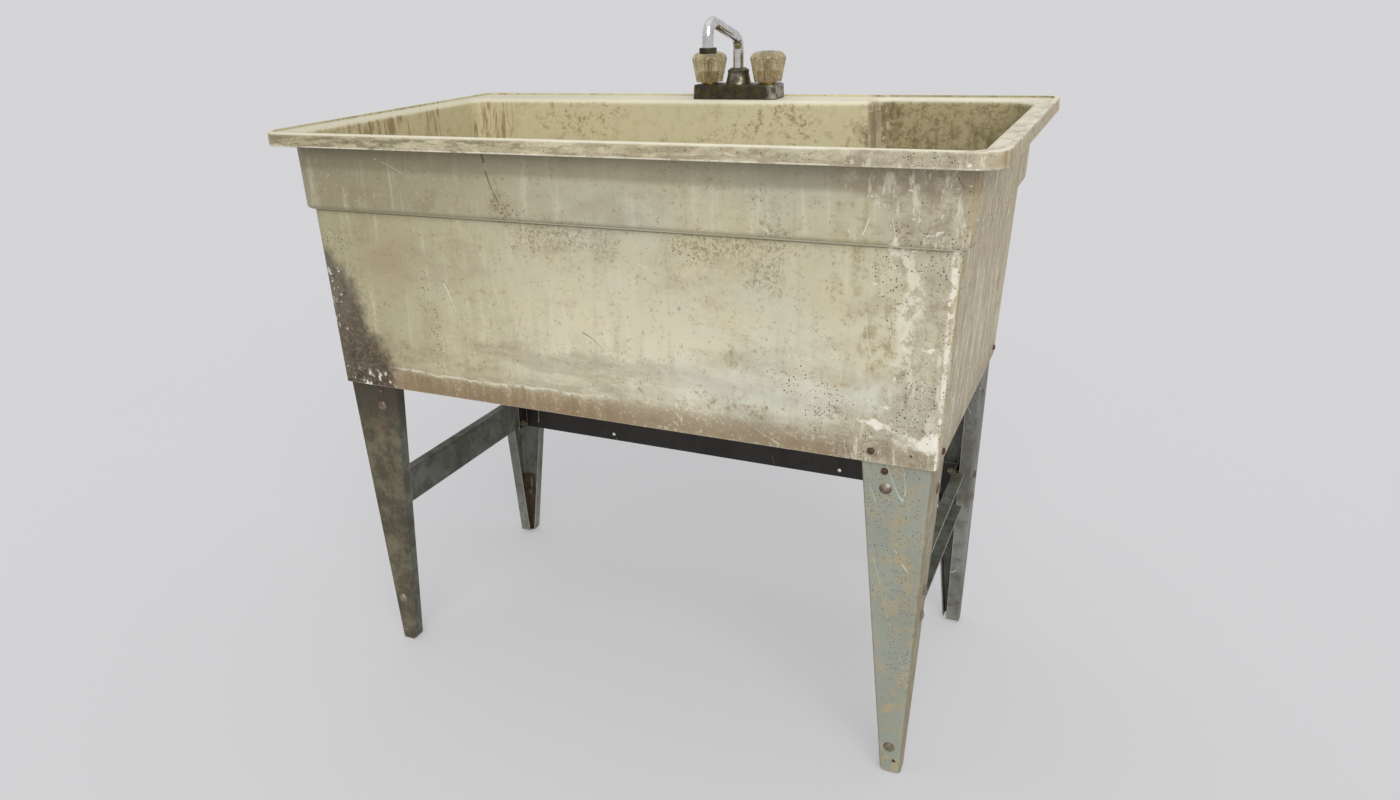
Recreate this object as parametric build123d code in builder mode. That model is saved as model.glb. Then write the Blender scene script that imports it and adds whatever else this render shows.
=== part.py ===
"""Floor-standing laundry sink: a moulded tub on four folded steel legs, with a two-handle tap.

Millimetres, +Z up, front of the sink toward -Y, origin on the floor under the middle of the rim.
"""
import os
from math import atan, degrees

from build123d import *

os.makedirs("parts", exist_ok=True)

# ---- Clearances and fits ---------------------------------------------------------------------
SEAT = 0.2            # between fixed pieces that sit against each other
GAP = 0.3             # between pieces that move past each other
RUN = 0.05            # radial running fit of a stem or spout in its bore
BOLT_FREE = 0.2       # radial room round a bolt in its hole

# ---- Tub -------------------------------------------------------------------------------------
RIM_W, RIM_D, RIM_Z = 1016, 610, 864
WALL = 4.5            # thickness of the moulding
DRAFT = 0.0625        # inward slope of the walls, mm for each mm of height
DRAFT_ANGLE = degrees(atan(DRAFT))
BEAD_W, BEAD_H = 7, 3
FLAT_Z = RIM_Z - BEAD_H
FACE_Z = RIM_Z - 20   # lower edge of the turned-down rim face
STEP_Z = 749          # underside of the band below the rim
STEP_W = 8.5          # how far the band stands out from the wall
SKIRT_Z = 474
SKIRT_IN = 59.5       # inset of the skirt's edge from the rim's edge
RIM_R_FRONT, RIM_R_BACK = 38, 22
BAND_R = (34, 52)     # corner radii, front and back, at the top of the band
WALL_R = (24, 30)     # the same just under the step
MOUTH_R = (29, 57)    # corner radii of the bowl at its mouth
BOWL_R = (20, 41)     # the same at the step
UNDER_R = 5.5         # inside corner of the skirt, above the legs
STEP_R = 6            # rounded lower edge of the band
FLOOR_Z, FLOOR_T = 521, 6
FLOOR_R = 18          # rounding between the bowl's floor and walls
LIP_R = 10            # rounding of the bowl's mouth
SHELF_Y = RIM_D / 2 - 83   # front face of the tap shelf, at the top
SHELF_X = 242         # right end of the tap shelf, at the top
SHELF_CORNER_R, SHELF_LEFT_R, RECESS_R = 14, 27, 22
WINDOW_W, WINDOW_X, WINDOW_Z = 430, -15, 560   # service opening in the back wall

# ---- Drain -----------------------------------------------------------------------------------
DRAIN_Y = 30
DRAIN_RECESS_R, DRAIN_RECESS_H = 50, 3
DRAIN_BOSS_R, DRAIN_BOSS_H = 58, 3
DRAIN_BODY_R, DRAIN_WALL = 24, 2.4
DRAIN_FLANGE_R, DRAIN_FLANGE_T = 44, 2.4
DRAIN_BODY_END = 462
TAIL_R, TAIL_WALL, TAIL_END = 19.05, 1.2, 388
TAIL_FLANGE_T, NUT_LIP, NUT_RISE = 2, 6, 13    # flange, and the nut below and above it
TAIL_NUT_R, GASKET_R, LOCKNUT_R = 28.5, 38, 33
GASKET_T, LOCKNUT_H = 2.8, 8.8
GROOVE_W, GROOVE_D = 1.5, 0.5     # ring groove where a pipe end leaves its nut
GRID_PITCH = 9        # cross grid of the strainer

# ---- Legs ------------------------------------------------------------------------------------
LEG_T = 2             # sheet thickness
LEG_IN = SKIRT_IN + WALL + SEAT     # inset of a leg's corner at the skirt's edge
LEG_W_FOOT, LEG_W_SKIRT = 27, 87    # width of each side at the floor and at the skirt
LEG_LIP = 20
LEAN_X = {-1: 0.052, 1: 0.031}        # slope of front and back legs, sideways
LEAN_Y = {-1: 0.0625, 1: 0.031}       # the same, front to back
LEG_BEND, LIP_BEND = 6, 3.5
LEG_END = 1.2         # height of the leg's cut end above the floor
LEG_TOP = FLOOR_Z - FLOOR_T - SEAT
LEG_TOE = 8           # rounding of the leg's lower free corners

# ---- Bolts and nuts --------------------------------------------------------------------------
BOLT_R, BOLT_HEAD_R, BOLT_HEAD_H = 3.15, 7.8, 3.4
NUT_R, NUT_H = 6.4, 5.4             # across corners, and height
SCREW_R, SCREW_HEAD_R, SCREW_HEAD_H = 2.1, 4.6, 2.6
SKIRT_SCREW_Z = 489
SKIRT_SCREWS_AT = (27, 75)          # from the leg's corner; the inner ones also on the outer side
LEG_SCREW_AT, LEG_SCREW_Z = 57, 462
LEG_BOLT_AT, LEG_BOLT_Z = 54, (438, 424)
SPARE_AT, SPARE_Z, SPARE_R = 10, 21, 3.2        # empty hole near the foot

# ---- Levelling feet --------------------------------------------------------------------------
FOOT_T = 2.4
FOOT_FRONT, FOOT_SIDE = 24.5, 19    # reach of the two sides from the leg's corner
FOOT_TOE = 6          # rounding of the foot's lower free corner
FOOT_TRAVEL = 25
CLAMP_AT = 17.5       # clamp bolt's distance from the leg's corner
CLAMP_Z = {"front_left": 82, "front_right": 43, "back_left": 82, "back_right": 60}

# ---- Braces ----------------------------------------------------------------------------------
BRACE_T = 2
BRACE_Z0, RAIL_Z0 = 234, 228
BRACE_H = 58
BRACE_FLANGE = 18
BRACE_BEND = 3.5
BRACE_BOLT_Y = RIM_D / 2 - 114
BRACE_BOLT_Z = (243, 281)
BRACE_BOLT_L = 41
FLANGE_CLEAR = 4      # between a flange's end and the leg's lip
RAIL_TAB = 30
RAIL_HOLE_X, RAIL_HOLE_UP, RAIL_HOLE_R = 216, 12.5, 3

# ---- Tap -------------------------------------------------------------------------------------
TAP_X, TAP_Y = 14, RIM_D / 2 - 43
HANDLE_SPACING = 101.6
COVER_W, COVER_D, COVER_H, COVER_T = 144, 54, 22, 1.4
COVER_R, COVER_TOP_R, COVER_TAPER = 8, 3, 3
PAD_T, PAD_RING = 1.5, 4          # flat ring under the cover's edge
COVER_TOP = FLAT_Z + PAD_T + COVER_H
SHANK_R, SHANK_BORE, SHANK_L = 10.3, 6, 42
SHANK_NUT_R, SHANK_NUT_H, SHANK_WASHER_T = 17, 7, 2
VALVE_R, VALVE_BORE = 13.2, 8.2
BARREL_RISE = 4.5     # height of the valve barrels above the cover
SEAT_Z, SEAT_BORE = FLAT_Z + 9, 4   # valve seat the washer closes on
WATERWAY_Z, WATERWAY_R = FLAT_Z + 15, 6.3
BOSS_TOP = 899        # top of the boss the spout turns in
WASHER_R, WASHER_T = 6, 3
STEM_R, STEM_THREAD_R, STEM_TOP = 4.5, VALVE_BORE - RUN, 921
BONNET_H = 5.8
HANDLE_BOTTOM, HANDLE_TOP, HANDLE_DOME = 888, 936, 11
HANDLE_R0, HANDLE_R1 = 22, 29
HANDLE_RECESS_R, HANDLE_RECESS_Z = 15, 906
FLUTES, FLUTE_R, FLUTE_TILT = 12, 3.4, 10.5
CAP_R = 10.3
HUB_R0, HUB_R1, HUB_TOP = 21, 17, 903
SPOUT_R, SPOUT_WALL = 8.7, 1.5
SPOUT_REACH, SPOUT_BEND = 136, 22
SPOUT_KNEE_Z, SPOUT_CREST_Z, SPOUT_END_Z = 957, 993, 943
PLUG_Z, GROOVE_Z = 881, 886         # lower end of the spout, and its O-ring groove
COLLAR_R = 10.5
END_FLANGE_R, END_NUT_R = 11.6, 13.4


def save(builder, name):
    """Label one finished piece and write it out."""
    builder.part.label = name
    export_step(builder.part, f"parts/{name}.step")


ON_TOP = (Align.CENTER, Align.CENTER, Align.MIN)     # stand a primitive on its location
CORNERS = {"front_left": (-1, -1), "front_right": (1, -1),
           "back_left": (-1, 1), "back_right": (1, 1)}


# ---- Places of the fasteners -----------------------------------------------------------------
def wall_inset(z):
    """Inset of the tub's lower wall from the rim's edge at height z."""
    return SKIRT_IN - DRAFT * (z - SKIRT_Z)


def leg_corner(z, sx, sy):
    """Place of a leg's outer corner at height z."""
    drop = SKIRT_Z - z
    return (sx * (RIM_W / 2 - LEG_IN - LEAN_X[sy] * drop),
            sy * (RIM_D / 2 - LEG_IN - LEAN_Y[sy] * drop), z)


def side_plane(axis, along, z, corner, on_wall=False):
    """Plane on a leg's or the wall's outer face, looking out, `along` mm from the leg's corner."""
    sx, sy = CORNERS[corner]
    x, y, _ = leg_corner(z, sx, sy)
    if axis == "y":
        face, slope = (sy * (RIM_D / 2 - wall_inset(z)), DRAFT) if on_wall else (y, LEAN_Y[sy])
        return Plane(origin=(x - sx * along, face, z), x_dir=(1, 0, 0), z_dir=(0, sy, -slope))
    face, slope = (sx * (RIM_W / 2 - wall_inset(z)), DRAFT) if on_wall else (x, LEAN_X[sy])
    return Plane(origin=(face, y - sy * along, z), x_dir=(0, 1, 0), z_dir=(sx, 0, -slope))


def leg_bolt_planes(corner):
    """Dome bolt on the leg's front or back side, and one on its outer side."""
    return [side_plane("y", LEG_BOLT_AT, LEG_BOLT_Z[0], corner),
            side_plane("x", LEG_BOLT_AT, LEG_BOLT_Z[1], corner)]


def clamp_plane(corner):
    """Clamp bolt of the levelling foot."""
    return side_plane("y", CLAMP_AT, CLAMP_Z[corner], corner)


def leg_screw_plane(corner):
    """Small screw just below the skirt."""
    return side_plane("y", LEG_SCREW_AT, LEG_SCREW_Z, corner)


SKIRT_HOLES = [side_plane(axis, along, SKIRT_SCREW_Z, corner, on_wall=True)
               for corner in CORNERS
               for axis, along in (("y", SKIRT_SCREWS_AT[0]), ("y", SKIRT_SCREWS_AT[1]),
                                   ("x", SKIRT_SCREWS_AT[0]))]
EMPTY_HOLE = side_plane("y", SKIRT_SCREWS_AT[0], SKIRT_SCREW_Z, "front_right", on_wall=True)


# ---- Tub outlines ----------------------------------------------------------------------------
def band_inset(z):
    """Inset of the band below the rim at height z."""
    return wall_inset(z) - STEP_W


def tub_outline(z, inset, front_r, back_r):
    """Rounded outline of the tub at height z, inset from the rim's edge."""
    with BuildSketch(Plane.XY.offset(z)) as outline:
        Rectangle(RIM_W - 2 * inset, RIM_D - 2 * inset)
        fillet(outline.vertices().group_by(Axis.Y)[0], front_r)
        fillet(outline.vertices().group_by(Axis.Y)[-1], back_r)
    return outline.sketch


def shelf_corner(z):
    """Outer corner of the tap shelf at height z, as (x, y)."""
    drop = DRAFT * (FLAT_Z - z)
    return SHELF_X + drop, SHELF_Y - drop


def bowl_outline(z, inset, front_r, back_r):
    """Outline of the bowl at height z: a rectangle that steps round the tap shelf."""
    x, y = RIM_W / 2 - inset, RIM_D / 2 - inset
    sx, sy = shelf_corner(z)
    corners = [(-x, -y), (x, -y), (x, y), (sx, y), (sx, sy), (-x, sy)]
    radii = [front_r, front_r, back_r, RECESS_R, SHELF_CORNER_R, SHELF_LEFT_R]
    with BuildSketch(Plane.XY.offset(z)) as outline:
        with BuildLine():
            Polyline(*corners, close=True)
        make_face()
        for corner, radius in zip(corners, radii):
            fillet(outline.vertices().sort_by_distance((*corner, z))[0], radius)
    return outline.sketch


def tapered(z0, z1, inset, front_r, back_r):
    """Solid between heights z0 and z1 whose sides draw in downward by the draft; radii at z1."""
    with BuildPart() as solid:
        extrude(tub_outline(z1, inset(z1), front_r, back_r), amount=z1 - z0, dir=(0, 0, -1),
                taper=DRAFT_ANGLE)
    return solid.part


def inside(inset):
    """Inset of the inner face of a wall, given its outer face's."""
    return lambda z: inset(z) + WALL


step_inner_z = STEP_Z + WALL
floor_under_z = FLOOR_Z - FLOOR_T

with BuildPart() as bowl_space:
    loft([bowl_outline(step_inner_z, band_inset(step_inner_z) + WALL, *BOWL_R),
          bowl_outline(RIM_Z, band_inset(RIM_Z) + WALL, *MOUTH_R)], ruled=True)
    loft([bowl_outline(FLOOR_Z, wall_inset(FLOOR_Z) + WALL, FLOOR_R + 2, FLOOR_R + 6),
          bowl_outline(step_inner_z, wall_inset(step_inner_z) + WALL, *BOWL_R)], ruled=True)
    fillet(bowl_space.edges().group_by(Axis.Z)[0], FLOOR_R - 2)

hollow_top = FLAT_Z - WALL
with BuildPart() as shelf_space:
    add(tapered(floor_under_z, step_inner_z, inside(wall_inset), UNDER_R + 15, WALL_R[1] - WALL))
    add(tapered(step_inner_z, hollow_top, inside(band_inset), UNDER_R + 15, BAND_R[1] - WALL))
    sx, sy = shelf_corner(floor_under_z)
    with BuildSketch(Plane.XY.offset(floor_under_z)):
        with Locations((sx - WALL, sy + WALL)):
            Rectangle(RIM_W, RIM_D / 2, align=(Align.MAX, Align.MIN))
    extrude(amount=hollow_top - floor_under_z, taper=DRAFT_ANGLE, mode=Mode.INTERSECT)

# Tub: rim, band, wall and skirt, then the bowl and the hidden hollows taken out
with BuildPart() as basin:
    extrude(tub_outline(FACE_Z, 0, RIM_R_FRONT, RIM_R_BACK), amount=RIM_Z - FACE_Z)
    fillet(basin.edges().group_by(Axis.Z)[-1], BEAD_H - 0.5)
    fillet(basin.edges().group_by(Axis.Z)[0], 1.2)
    extrude(tub_outline(FACE_Z, WALL, RIM_R_FRONT - WALL, RIM_R_BACK - WALL),
            amount=FLAT_Z - WALL - FACE_Z, mode=Mode.SUBTRACT)
    extrude(tub_outline(FLAT_Z, BEAD_W, RIM_R_FRONT - BEAD_W, RIM_R_BACK - BEAD_W),
            amount=BEAD_H, mode=Mode.SUBTRACT)
    add(tapered(SKIRT_Z, STEP_Z, wall_inset, *WALL_R))

with BuildPart() as band:
    add(tapered(STEP_Z, FLAT_Z, band_inset, *BAND_R))
    fillet(band.edges().group_by(Axis.Z)[0], STEP_R)

with basin:
    add(band.part)
    add(bowl_space.part, mode=Mode.SUBTRACT)
    mouth = basin.edges().filter_by_position(Axis.Z, FLAT_Z, FLAT_Z)
    fillet([e for e in mouth if abs(e.center().X) < RIM_W / 2 - 25
            and abs(e.center().Y) < RIM_D / 2 - 25], LIP_R)
    add(tapered(SKIRT_Z, floor_under_z, inside(wall_inset), UNDER_R, UNDER_R),
        mode=Mode.SUBTRACT)
    add(shelf_space.part, mode=Mode.SUBTRACT)
    with Locations((WINDOW_X, RIM_D / 2 - 40, WINDOW_Z)):
        Box(WINDOW_W, 50, hollow_top - WINDOW_Z, align=(Align.CENTER, Align.CENTER, Align.MIN),
            mode=Mode.SUBTRACT)
    with Locations((0, DRAIN_Y, floor_under_z - DRAIN_BOSS_H)):
        Cylinder(DRAIN_BOSS_R, DRAIN_BOSS_H + 1, align=ON_TOP)
    with Locations((0, DRAIN_Y, FLOOR_Z - DRAIN_RECESS_H)):
        Cone(DRAIN_RECESS_R - 2, DRAIN_RECESS_R, DRAIN_RECESS_H, align=ON_TOP, mode=Mode.SUBTRACT)
    with Locations((0, DRAIN_Y, FLOOR_Z)):
        Cylinder(DRAIN_BODY_R + 1, 3 * FLOOR_T, mode=Mode.SUBTRACT)
    with Locations(*[(TAP_X + s * HANDLE_SPACING / 2, TAP_Y, FLAT_Z) for s in (-1, 1)]):
        Cylinder(SHANK_R + 2, 4 * WALL, mode=Mode.SUBTRACT)
    with Locations(*SKIRT_HOLES):
        Cylinder(SCREW_R + BOLT_FREE, 3 * WALL, mode=Mode.SUBTRACT)
save(basin, "basin")


# ---- Legs ------------------------------------------------------------------------------------
def leg_width(z):
    """Width of each side of a leg at height z."""
    return LEG_W_FOOT + (LEG_W_SKIRT - LEG_W_FOOT) * z / SKIRT_Z


def corner_plane(z, sx, sy):
    """Level plane at a leg's outer corner, both local axes running in under the tub."""
    return Plane(origin=leg_corner(z, sx, sy), x_dir=(-sx, 0, 0), z_dir=(0, 0, sx * sy))


def leg_outline(z, sx, sy):
    """Folded sheet at height z: two sides at a right angle, each with a lip along its free edge."""
    w, t, lip = leg_width(z), LEG_T, LEG_LIP
    corners = [(0, 0), (w, 0), (w, lip), (w - t, lip), (w - t, t),
               (t, t), (t, w - t), (lip, w - t), (lip, w), (0, w)]
    bends = {0: LEG_BEND, 5: LEG_BEND - t, 1: LIP_BEND, 9: LIP_BEND,
             4: LIP_BEND - t, 6: LIP_BEND - t}
    with BuildSketch(corner_plane(z, sx, sy)) as outline:
        with BuildLine():
            Polyline(*corners, close=True)
        make_face()
        for i, radius in bends.items():
            fillet(outline.vertices().sort_by_distance((*corners[i], 0))[0], radius)
    return outline.sketch


def toe_planes(sx, sy):
    """The two upright planes through a leg's lower corner, each along one of its sides."""
    origin = corner_plane(LEG_END, sx, sy).origin
    return (Plane(origin=origin, x_dir=(-sx, 0, 0), z_dir=(0, sx, 0)),
            Plane(origin=origin, x_dir=(0, -sy, 0), z_dir=(-sy, 0, 0)))


def make_leg(name, sx, sy):
    """One leg with its rounded toes, bolt holes and screw holes."""
    with BuildPart() as leg:
        loft([leg_outline(LEG_END, sx, sy), leg_outline(LEG_TOP, sx, sy)], ruled=True)
        for toe in toe_planes(sx, sy):
            with BuildSketch(toe):
                with Locations((LEG_W_FOOT - LEG_TOE, 0)):
                    Rectangle(LEG_TOE + 4, LEG_TOE, align=(Align.MIN, Align.MIN))
                with Locations((LEG_W_FOOT - LEG_TOE, LEG_TOE)):
                    Circle(LEG_TOE + 0.6, mode=Mode.SUBTRACT)
            extrude(amount=LEG_LIP + 8, both=True, mode=Mode.SUBTRACT)
        with Locations(*leg_bolt_planes(name), clamp_plane(name)):
            Cylinder(BOLT_R + BOLT_FREE, 4 * LEG_T, mode=Mode.SUBTRACT)
        with Locations(*[Plane(origin=(leg_corner(z, sx, sy)[0], sy * BRACE_BOLT_Y, z),
                               z_dir=(sx, 0, 0)) for z in BRACE_BOLT_Z]):
            Cylinder(BOLT_R + BOLT_FREE, 4 * LEG_T, mode=Mode.SUBTRACT)
        with Locations(leg_screw_plane(name), *[p for p in SKIRT_HOLES
                                               if p.origin.X * sx > 0 and p.origin.Y * sy > 0]):
            Cylinder(SCREW_R + BOLT_FREE, 6 * WALL, mode=Mode.SUBTRACT)
        with Locations(side_plane("y", SPARE_AT, SPARE_Z, name)):
            Cylinder(SPARE_R, 4 * LEG_T, mode=Mode.SUBTRACT)
    save(leg, f"leg_{name}")


for corner, (sx, sy) in CORNERS.items():
    make_leg(corner, sx, sy)


# ---- Levelling feet --------------------------------------------------------------------------
FOOT_A = LEG_T + GAP                # clearance line of the foot inside the leg
FOOT_BEND = LEG_BEND - FOOT_A


def foot_outline(z, sx, sy):
    """Angle section of a foot, nested in the leg's corner."""
    a, b = FOOT_A, FOOT_A + FOOT_T
    corners = [(a, a), (FOOT_FRONT, a), (FOOT_FRONT, b), (b, b), (b, FOOT_SIDE), (a, FOOT_SIDE)]
    with BuildSketch(corner_plane(z, sx, sy)) as outline:
        with BuildLine():
            Polyline(*corners, close=True)
        make_face()
        fillet(outline.vertices().sort_by_distance((a, a, 0))[0], FOOT_BEND)
        fillet(outline.vertices().sort_by_distance((b, b, 0))[0], FOOT_BEND - FOOT_T)
    return outline.sketch


def sole_outline(z, sx, sy):
    """Sole that closes the angle at the floor."""
    a = FOOT_A
    with BuildSketch(corner_plane(z, sx, sy)) as outline:
        with BuildLine():
            Polyline((a, a), (FOOT_FRONT, a), (FOOT_FRONT, a + 8), (a + 8, FOOT_SIDE),
                     (a, FOOT_SIDE), close=True)
        make_face()
        fillet(outline.vertices().sort_by_distance((a, a, 0))[0], FOOT_BEND)
    return outline.sketch


def make_foot(name, sx, sy):
    """Slotted angle that slides down inside the leg to level the sink."""
    slot_end = CLAMP_Z[name] + FOOT_TRAVEL
    run = FOOT_TRAVEL * (1 + LEAN_Y[sy] ** 2) ** 0.5
    with BuildPart() as foot:
        loft([foot_outline(0, sx, sy), foot_outline(slot_end + 10, sx, sy)], ruled=True)
        loft([sole_outline(0, sx, sy), sole_outline(FOOT_T, sx, sy)], ruled=True)
        with BuildSketch(clamp_plane(name)):
            with Locations((sx * LEAN_X[sy] * FOOT_TRAVEL / 2, -sy * run / 2)):
                SlotCenterToCenter(run, 2 * (BOLT_R + GAP),
                                   rotation=90 + sx * sy * degrees(atan(LEAN_X[sy])))
        extrude(amount=-FOOT_A - 2 * FOOT_T, mode=Mode.SUBTRACT)
        with BuildSketch(toe_planes(sx, sy)[0]):
            with Locations((FOOT_FRONT - FOOT_TOE, -LEG_END)):
                Rectangle(FOOT_TOE + 2, FOOT_TOE, align=(Align.MIN, Align.MIN))
            with Locations((FOOT_FRONT - FOOT_TOE, FOOT_TOE - LEG_END)):
                Circle(FOOT_TOE, mode=Mode.SUBTRACT)
        extrude(amount=FOOT_SIDE + 2, both=True, mode=Mode.SUBTRACT)
    save(foot, f"foot_{name}")


for corner, (sx, sy) in CORNERS.items():
    make_foot(corner, sx, sy)


# ---- Bolts, nuts and screws ------------------------------------------------------------------
def carriage_bolt(reach):
    """Dome-headed bolt, its head seated on the local origin, its shank `reach` mm long."""
    dome = (BOLT_HEAD_R**2 + BOLT_HEAD_H**2) / (2 * BOLT_HEAD_H)
    with BuildPart() as bolt:
        with BuildSketch(Plane.XZ):
            with BuildLine():
                ThreePointArc((BOLT_HEAD_R, SEAT), (BOLT_HEAD_R * 0.6, SEAT + BOLT_HEAD_H - dome
                              + (dome**2 - (BOLT_HEAD_R * 0.6) ** 2) ** 0.5),
                              (0, SEAT + BOLT_HEAD_H))
                Polyline((0, SEAT + BOLT_HEAD_H), (0, -reach), (BOLT_R - 0.6, -reach),
                         (BOLT_R, 0.6 - reach), (BOLT_R, SEAT), (BOLT_HEAD_R, SEAT))
            make_face()
        revolve(axis=Axis.Z)
    return bolt.part


def hex_nut(depth):
    """Hexagon nut on a bolt, its near face `depth` mm inside the local origin."""
    with BuildPart() as nut:
        with BuildSketch(Plane.XY.offset(-depth)):
            RegularPolygon(NUT_R, 6)
            Circle(BOLT_R + RUN, mode=Mode.SUBTRACT)
        extrude(amount=-NUT_H)
    return nut.part


def pan_screw(reach):
    """Pan-headed sheet screw with a point."""
    r, h = SCREW_HEAD_R, SCREW_HEAD_H
    with BuildPart() as screw:
        with BuildSketch(Plane.XZ):
            with BuildLine():
                Polyline((0, SEAT + h), (r * 0.55, SEAT + h), (r * 0.9, SEAT + h * 0.6), (r, SEAT),
                         (SCREW_R, SEAT), (SCREW_R, 3 - reach), (0, -reach), close=True)
            make_face()
        revolve(axis=Axis.Z)
        with Locations((0, 0, SEAT + h)):
            Box(2 * r, 1, 1.6, mode=Mode.SUBTRACT)
            Box(1, 2 * r, 1.6, mode=Mode.SUBTRACT)
    return screw.part


def place(name, piece, planes):
    """One node of identical loose pieces, one at each plane."""
    with BuildPart() as row:
        with Locations(*planes):
            add(piece)
    save(row, name)


clamp_planes = [clamp_plane(c) for c in CORNERS]
clamp_depth = FOOT_A + FOOT_T + GAP
place("clamp_bolts", carriage_bolt(clamp_depth + NUT_H + 3), clamp_planes)
place("clamp_nuts", hex_nut(clamp_depth), clamp_planes)

dome_planes = [p for c in CORNERS for p in leg_bolt_planes(c)]
place("leg_bolts", carriage_bolt(LEG_T + NUT_H + 4), dome_planes)
place("leg_nuts", hex_nut(LEG_T + SEAT), dome_planes)

place("leg_screws", pan_screw(LEG_T + 8), [leg_screw_plane(c) for c in CORNERS])
skirt_planes = [p for p in SKIRT_HOLES if (p.origin - EMPTY_HOLE.origin).length > 1]
place("skirt_screws", pan_screw(WALL + LEG_T + 7), skirt_planes)

# ---- Braces ----------------------------------------------------------------------------------
BRACE_X = leg_corner(BRACE_Z0, 1, -1)[0] - LEG_LIP - GAP      # outer face, clear of the lips
RAIL_Y = leg_corner(RAIL_Z0, 1, 1)[1] - LEG_LIP - GAP         # back face, clear of the lips
BRACE_END_Y = RAIL_Y - BRACE_T - GAP
TAB_X = BRACE_X - BRACE_T - SEAT                    # outer face of the rail's bent ends
brace_top = BRACE_Z0 + BRACE_H
BRACE_FLANGE_Y = -leg_corner(brace_top, 1, -1)[1] - leg_width(brace_top) - FLANGE_CLEAR
RAIL_FLANGE_X = leg_corner(brace_top, 1, 1)[0] - leg_width(brace_top) - FLANGE_CLEAR


def channel(plane):
    """Channel section: web on the plane's vertical axis, flanges along its horizontal axis."""
    t, f, h = BRACE_T, BRACE_FLANGE, BRACE_H
    corners = [(0, 0), (f, 0), (f, t), (t, t), (t, h - t), (f, h - t), (f, h), (0, h)]
    bends = {0: BRACE_BEND, 7: BRACE_BEND, 3: BRACE_BEND - t, 4: BRACE_BEND - t}
    with BuildSketch(plane) as section:
        with BuildLine():
            Polyline(*corners, close=True)
        make_face()
        for i, radius in bends.items():
            fillet(section.vertices().sort_by_distance((*corners[i], 0))[0], radius)
    return section.sketch


def brace_bolt_planes(sx, sy):
    """Level bolts through a leg's outer side and the end of a brace."""
    return [Plane(origin=(leg_corner(z + BOLT_HEAD_R, sx, sy)[0], sy * BRACE_BOLT_Y, z),
                  x_dir=(0, 1, 0), z_dir=(sx, 0, 0)) for z in BRACE_BOLT_Z]


def make_brace(name, sx):
    """Side brace: a channel open to the outside, whose flanges stop short of the legs."""
    with BuildPart() as brace:
        extrude(channel(Plane(origin=(sx * (BRACE_X - BRACE_T), 0, BRACE_Z0), x_dir=(sx, 0, 0),
                              z_dir=(0, -sx, 0))), amount=BRACE_END_Y, both=True)
        for sy in (-1, 1):
            with Locations((sx * BRACE_X, sy * BRACE_FLANGE_Y, BRACE_Z0 - 1)):
                Box(2 * BRACE_FLANGE, RIM_D, BRACE_H + 2,
                    align=(Align.MIN if sx > 0 else Align.MAX,
                           Align.MIN if sy > 0 else Align.MAX, Align.MIN), mode=Mode.SUBTRACT)
            with Locations(*brace_bolt_planes(sx, sy)):
                Cylinder(BOLT_R + BOLT_FREE, 4 * BRACE_BOLT_L, mode=Mode.SUBTRACT)
    save(brace, name)


make_brace("brace_left", -1)
make_brace("brace_right", 1)

with BuildPart() as back_rail:
    extrude(channel(Plane(origin=(0, RAIL_Y - BRACE_T, RAIL_Z0), x_dir=(0, 1, 0),
                          z_dir=(1, 0, 0))), amount=TAB_X, both=True)
    for sx in (-1, 1):
        side = Align.MIN if sx > 0 else Align.MAX
        with Locations((sx * RAIL_FLANGE_X, RAIL_Y, RAIL_Z0 - 1)):
            Box(RIM_W, 2 * BRACE_FLANGE, BRACE_H + 2, align=(side, Align.MIN, Align.MIN),
                mode=Mode.SUBTRACT)
        with Locations((sx * (TAB_X - BRACE_T), RAIL_Y - BRACE_T / 2, RAIL_Z0 + BRACE_BEND)):
            Box(BRACE_T, RAIL_TAB, BRACE_H - 2 * BRACE_BEND, align=(side, Align.MAX, Align.MIN))
        with Locations(*brace_bolt_planes(sx, 1)):
            Cylinder(BOLT_R + BOLT_FREE, 4 * BRACE_BOLT_L, mode=Mode.SUBTRACT)
        with Locations(Plane(origin=(sx * RAIL_HOLE_X, RAIL_Y, RAIL_Z0 + RAIL_HOLE_UP),
                             z_dir=(0, 1, 0))):
            Cylinder(RAIL_HOLE_R, 4 * BRACE_T, mode=Mode.SUBTRACT)
save(back_rail, "back_rail")

front_ends = [p for sx in (-1, 1) for p in brace_bolt_planes(sx, -1)]
back_ends = [p for sx in (-1, 1) for p in brace_bolt_planes(sx, 1)]


def nut_planes(planes, x):
    """The bolts' planes moved in to the face the nuts sit on."""
    return [Plane(origin=(x if p.origin.X > 0 else -x, p.origin.Y, p.origin.Z),
                  x_dir=p.x_dir, z_dir=p.z_dir) for p in planes]


place("brace_bolts", carriage_bolt(BRACE_BOLT_L), front_ends + back_ends)
place("brace_nuts", hex_nut(SEAT), nut_planes(front_ends, BRACE_X - BRACE_T)
      + nut_planes(back_ends, TAB_X - BRACE_T))


# ---- Drain -----------------------------------------------------------------------------------
def turned(x, y, points):
    """Solid turned about the upright axis at (x, y) from an outline of (radius, z) points."""
    with BuildPart() as solid:
        with BuildSketch(Plane(origin=(x, y, 0), x_dir=(1, 0, 0), z_dir=(0, -1, 0))):
            with BuildLine():
                Polyline(*points, close=True)
            make_face()
        revolve(axis=Axis((x, y, 0), (0, 0, 1)))
    return solid.part


def ring(r0, r1, z0, z1):
    """Outline of a plain ring, for `turned`."""
    return [(r0, z0), (r1, z0), (r1, z1), (r0, z1)]


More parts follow.
